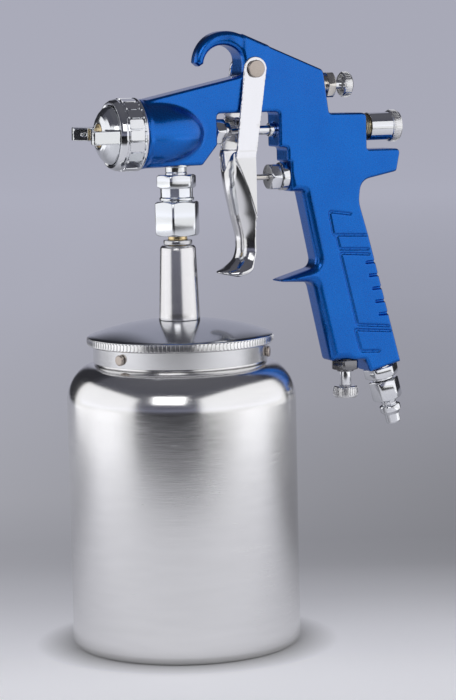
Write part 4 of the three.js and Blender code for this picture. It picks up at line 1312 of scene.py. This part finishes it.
packing_low, packing_high = span("needle_packing_nut")
piece("packing_nut", nut_and_collar(12, packing_high[0] - 8.3, packing_high[0] - 3.1, 1.55, [
    (4.7, packing_low[0], packing_high[0] - 7.5), (4.2, packing_high[0] - 4, packing_high[0])]),
    barrel_axis, "chrome", "needle_packing_nut")
bush_low, bush_high = span("needle_guide_bush")
piece("guide_bush", turned([(2.6, bush_low[0], 0.2), (3.3, bush_low[0], 0.4), (3.3, bush_high[0]),
                            (2.6, bush_high[0])], sides=64), barrel_axis, "chrome", "needle_guide_bush")

# %% The fluid knob
stud_low, stud_high = span("fluid_stud")
sleeve_front, knob_end = span("fluid_knob")[0][0], span("fluid_knob")[1][0]
stud_mesh = turned([(4.1, stud_low[0]), (5.6, stud_low[0]), (5.6, stud_high[0], 0.6), (4.1, stud_high[0])],
                   sides=64)
stud_mesh = run_recipe(stud_mesh, coil_tree, "old_brass", turns=13.0, radius=5.62, low=98.4,
                       length=13.0, wire=0.36)
piece("threaded_stud", stud_mesh, barrel_axis, "old_brass", "fluid_stud")
knob_mesh = turned([
    (6.3, sleeve_front, 0.2), (6.8, sleeve_front, 0.35), (6.8, 112.6, 0.2), (7.5, 113.0, 0.2),
    (7.5, 116.8, 0.2), (7.2, knob_end, 0.4), (2, knob_end, 0.3), (2, 114.7), (6.3, 114.4)], sides=120)
knob_mesh = knurled(knob_mesh, "knob", 7.5, 113.1, 116.8, 42, 0.35)
piece("fluid_knob_cap", knob_mesh, barrel_axis, "chrome", "fluid_knob")
second_finish(knob_mesh, "knob", lambda centre: centre.x > 112.7 * MM)
stop_low, stop_high = span("needle_stop")
piece("stop_plunger", turned([
    (0, stop_low[0]), (3.7, stop_low[0], 0.4), (3.7, 114.2, 0.3), (1.7, 114.2), (1.7, stop_high[0], 0.3),
    (0, stop_high[0])], sides=48), barrel_axis, "steel", "needle_stop")

# %% The air valve under the barrel
valve_low, valve_high = span("air_valve_packing_nut")
piece("valve_packing_nut", hexed(12, valve_low[0], valve_high[0], 1.7, ends=(1.6, 0.6)), air_axis,
      "dull_chrome", "air_valve_packing_nut")
housing_low, housing_high = span("air_valve_housing")
piece("valve_housing", turned([
    (1.7, housing_low[0]), (6.4, housing_low[0], 0.3), (6.8, housing_low[0] + 0.5, 0.2),
    (6.8, housing_low[0] + 3.4, 0.2), (5, housing_low[0] + 3.4), (5, housing_high[0]),
    (3.6, housing_high[0]), (3.6, 60), (1.7, 60)], sides=80), air_axis, "chrome", "air_valve_housing")
spindle_low, spindle_high = span("air_valve_spindle")
piece("valve_spindle", turned([
    (0, spindle_low[0]), (0.9, spindle_low[0] + 0.1, 0.3), (1.4, spindle_low[0] + 0.9, 0.3), (1.4, 67.9),
    (4.4, 67.9), (4.4, 69.6), (1.4, 69.6), (1.4, spindle_high[0]), (0, spindle_high[0])], sides=40),
    air_axis, "champagne", "air_valve_spindle")

# %% [markdown]
# ## The screw valves
# The pattern valve at the back and the air valve under the handle are the same idea: a
# hexagonal housing, a bright stem, a rubber ring that seals it, and a small knurled knob. One
# function makes both, and the sizes come from the frame's own housing, stem and knob.


# %% Two valves from one function
def along(node, axis):
    """The heights that a node reaches along an axis."""
    return sorted((corner - axis.start) @ axis.direction for corner in span(node))


def screw_valve(name, axis, flats, hex_ends, stem, bush, housing_finish, hex_cones):
    bore_start, housing_top = along(f"{name}_housing", axis)
    hex_low, hex_high = hex_ends
    stages = ((4.5, bore_start, hex_low + 0.5), (bush, hex_high - 0.5, housing_top))
    housing = nut_and_collar(flats, hex_low, hex_high, stem + 0.3, stages, hex_cones)
    piece(f"{name}_hexagon", housing, axis, housing_finish, f"{name}_housing")
    stem_low, stem_high = along(f"{name}_stem", axis)
    piece(f"{name}_rod", turned([
        (0, stem_low), (stem - 1, stem_low + 3), (stem, stem_low + 3.6), (stem, hex_low - 1.3),
        (stem - 0.7, hex_low - 1.3), (stem - 0.7, hex_low + 0.3), (stem, hex_low + 0.3),
        (stem, stem_high, 0.2), (0, stem_high)], sides=64, radius=0.1), axis, "chrome", f"{name}_stem")
    ring_low, ring_top = along(f"{name}_o_ring", axis)
    half = (ring_top - ring_low) / 2
    section = [(stem - 0.35 + 0.32 * math.cos(a), ring_low + half + 0.5 * math.sin(a), 0)
               for a in np.linspace(0, 2 * math.pi, 13)[:-1]]
    piece(f"{name}_ring", turned(section, sides=48), axis, "rubber", f"{name}_o_ring")
    knob_low, knob_high = along(f"{name}_knob", axis)
    knob = turned([
        (0, knob_low + 0.25), (2.6, knob_low + 0.25, 0.2), (3.0, knob_low, 0.1), (5.2, knob_low, 0.3),
        (5.8, knob_low + 0.5, 0.2), (5.8, knob_high - 0.7, 0.2), (5.1, knob_high, 0.3),
        (3.4, knob_high, 0.2), (3.1, knob_high - 0.35, 0.2), (0, knob_high - 0.35)], sides=90)
    knob = knurled(knob, "knob", 5.8, knob_low + 0.45, knob_high - 0.65, 28, 0.4, 0.5)
    piece(f"{name}_knurl", knob, axis, "knob", f"{name}_knob")


screw_valve("pattern_valve", pattern_axis, 12, (78.4, 82.4), 2.3, 3.0, "champagne", (0, 1))
screw_valve("air_adjuster", foot_axis, 12.6, (0.3, 5.0), 2.9, 4.2, "black", (0.3, 1))

# %% [markdown]
# ## The air inlet
# A hexagonal fitting screws into the slanted face under the handle, and a quick-connect plug
# screws into it. The hose's socket slides over the plug and locks behind its collar.

# %% The fitting and the plug
fitting = joined(
    hexed(15.4, 0.3, 5.6, 3.0, (0.2, 1), spin=-15),
    turned([(3.0, -11), (6.1, -11, 0.5), (6.1, 0.6), (3.0, 0.6)], sides=64),
    turned([(3.0, 5.4), (5.4, 5.4), (5.4, 7.0, 0.2), (3.0, 7.0)], sides=64))
piece("inlet_fitting", shade(fitting, 32), inlet_axis, "chrome", "air_inlet_fitting")
plug = joined(
    hexed(13.4, 7.3, 17.4, 2.4, (1, 1), spin=-15),
    turned([(2.4, 17.0), (5.6, 17.0), (5.5, 17.5, 0.3), (3.9, 18.5, 0.8), (3.6, 20.0, 0.5), (4.9, 20.6, 0.3),
            (5.3, 21.3, 0.5), (5.3, 23.6, 0.5), (4.4, 24.5, 0.3), (3.75, 25.3, 0.6), (3.7, 29.2, 0.3),
            (3.3, plug_reach, 0.3), (2.4, plug_reach, 0.1)], sides=80))
piece("hose_plug", shade(plug, 32), inlet_axis, "chrome", "quick_plug")

# %% [markdown]
# ## Inside the cup
# The pick-up tube and its strainer show when the gun is lifted off its cup. The tube follows a
# soft curve down to the front corner of the cup. The springs, packings and gaskets, the air
# valve's seat and the nut inside the lid stay the frame's own pieces, with the finishes above.


# %% The pick-up tube
def soft_route(stations, count):
    """Points on a smooth curve through stations."""
    stations = np.array(stations, float)
    padded = np.vstack([2 * stations[0] - stations[1], stations, 2 * stations[-1] - stations[-2]])
    points = []
    for i in range(len(stations) - 1):
        a, b, c, d = padded[i:i + 4]
        for t in np.linspace(0, 1, count, endpoint=False):
            points.append(0.5 * (2 * b + (c - a) * t + (2 * a - 5 * b + 4 * c - d) * t ** 2
                                 + (3 * b - a - 3 * c + d) * t ** 3))
    return np.array([*points, stations[-1]])


def bent_pipe(route, outer, inner, sides=48):
    """A pipe along a route in the plane y = 0."""
    ways = np.gradient(route, axis=0)
    angles = np.arange(sides) * 2 * math.pi / sides
    side = np.array([0, 1, 0])
    rings = []
    for radius, order in ((outer, 1), (inner, -1)):
        for centre, way in list(zip(route, ways))[::order]:
            other = np.cross(way / np.linalg.norm(way), side)
            rings.append([centre + radius * (math.cos(a) * side + math.sin(a) * other) for a in angles])
    return new_mesh(*skin(np.array(rings), closed=True))


tube_high = span("pickup_tube")[1]
tube_end = (-32, 0, 21)
route = soft_route([(0, 0, tube_high[2]), (0, 0, 120), (-3, 0, 100), (-22, 0, 50), tube_end], 12)
piece("suction_tube", bent_pipe(route, 4.0, 3.0), cup_axis, "steel", "pickup_tube")
lean = Axis(tube_end, np.array([-0.33, 0, -1]) / math.hypot(0.33, 1))
piece("strainer_cup", turned([
    (3, 1.6), (6.5, 1.6, 0.5), (6.5, 8, 0.3), (5.7, 9.3, 0.3), (5.3, 9.3), (5.3, 3), (3, 3)], sides=64),
    lean, "steel", "inlet_strainer")

# %% Compare the boxes and finish
seen_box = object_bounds()
sizes = {"cad": [list(corner) for corner in cad_box], "visual": [list(corner) for corner in seen_box]}
print("box difference in mm:", [[round((a - b) / MM, 2) for a, b in zip(*corners)]
                                for corners in zip(sizes["cad"], sizes["visual"])])
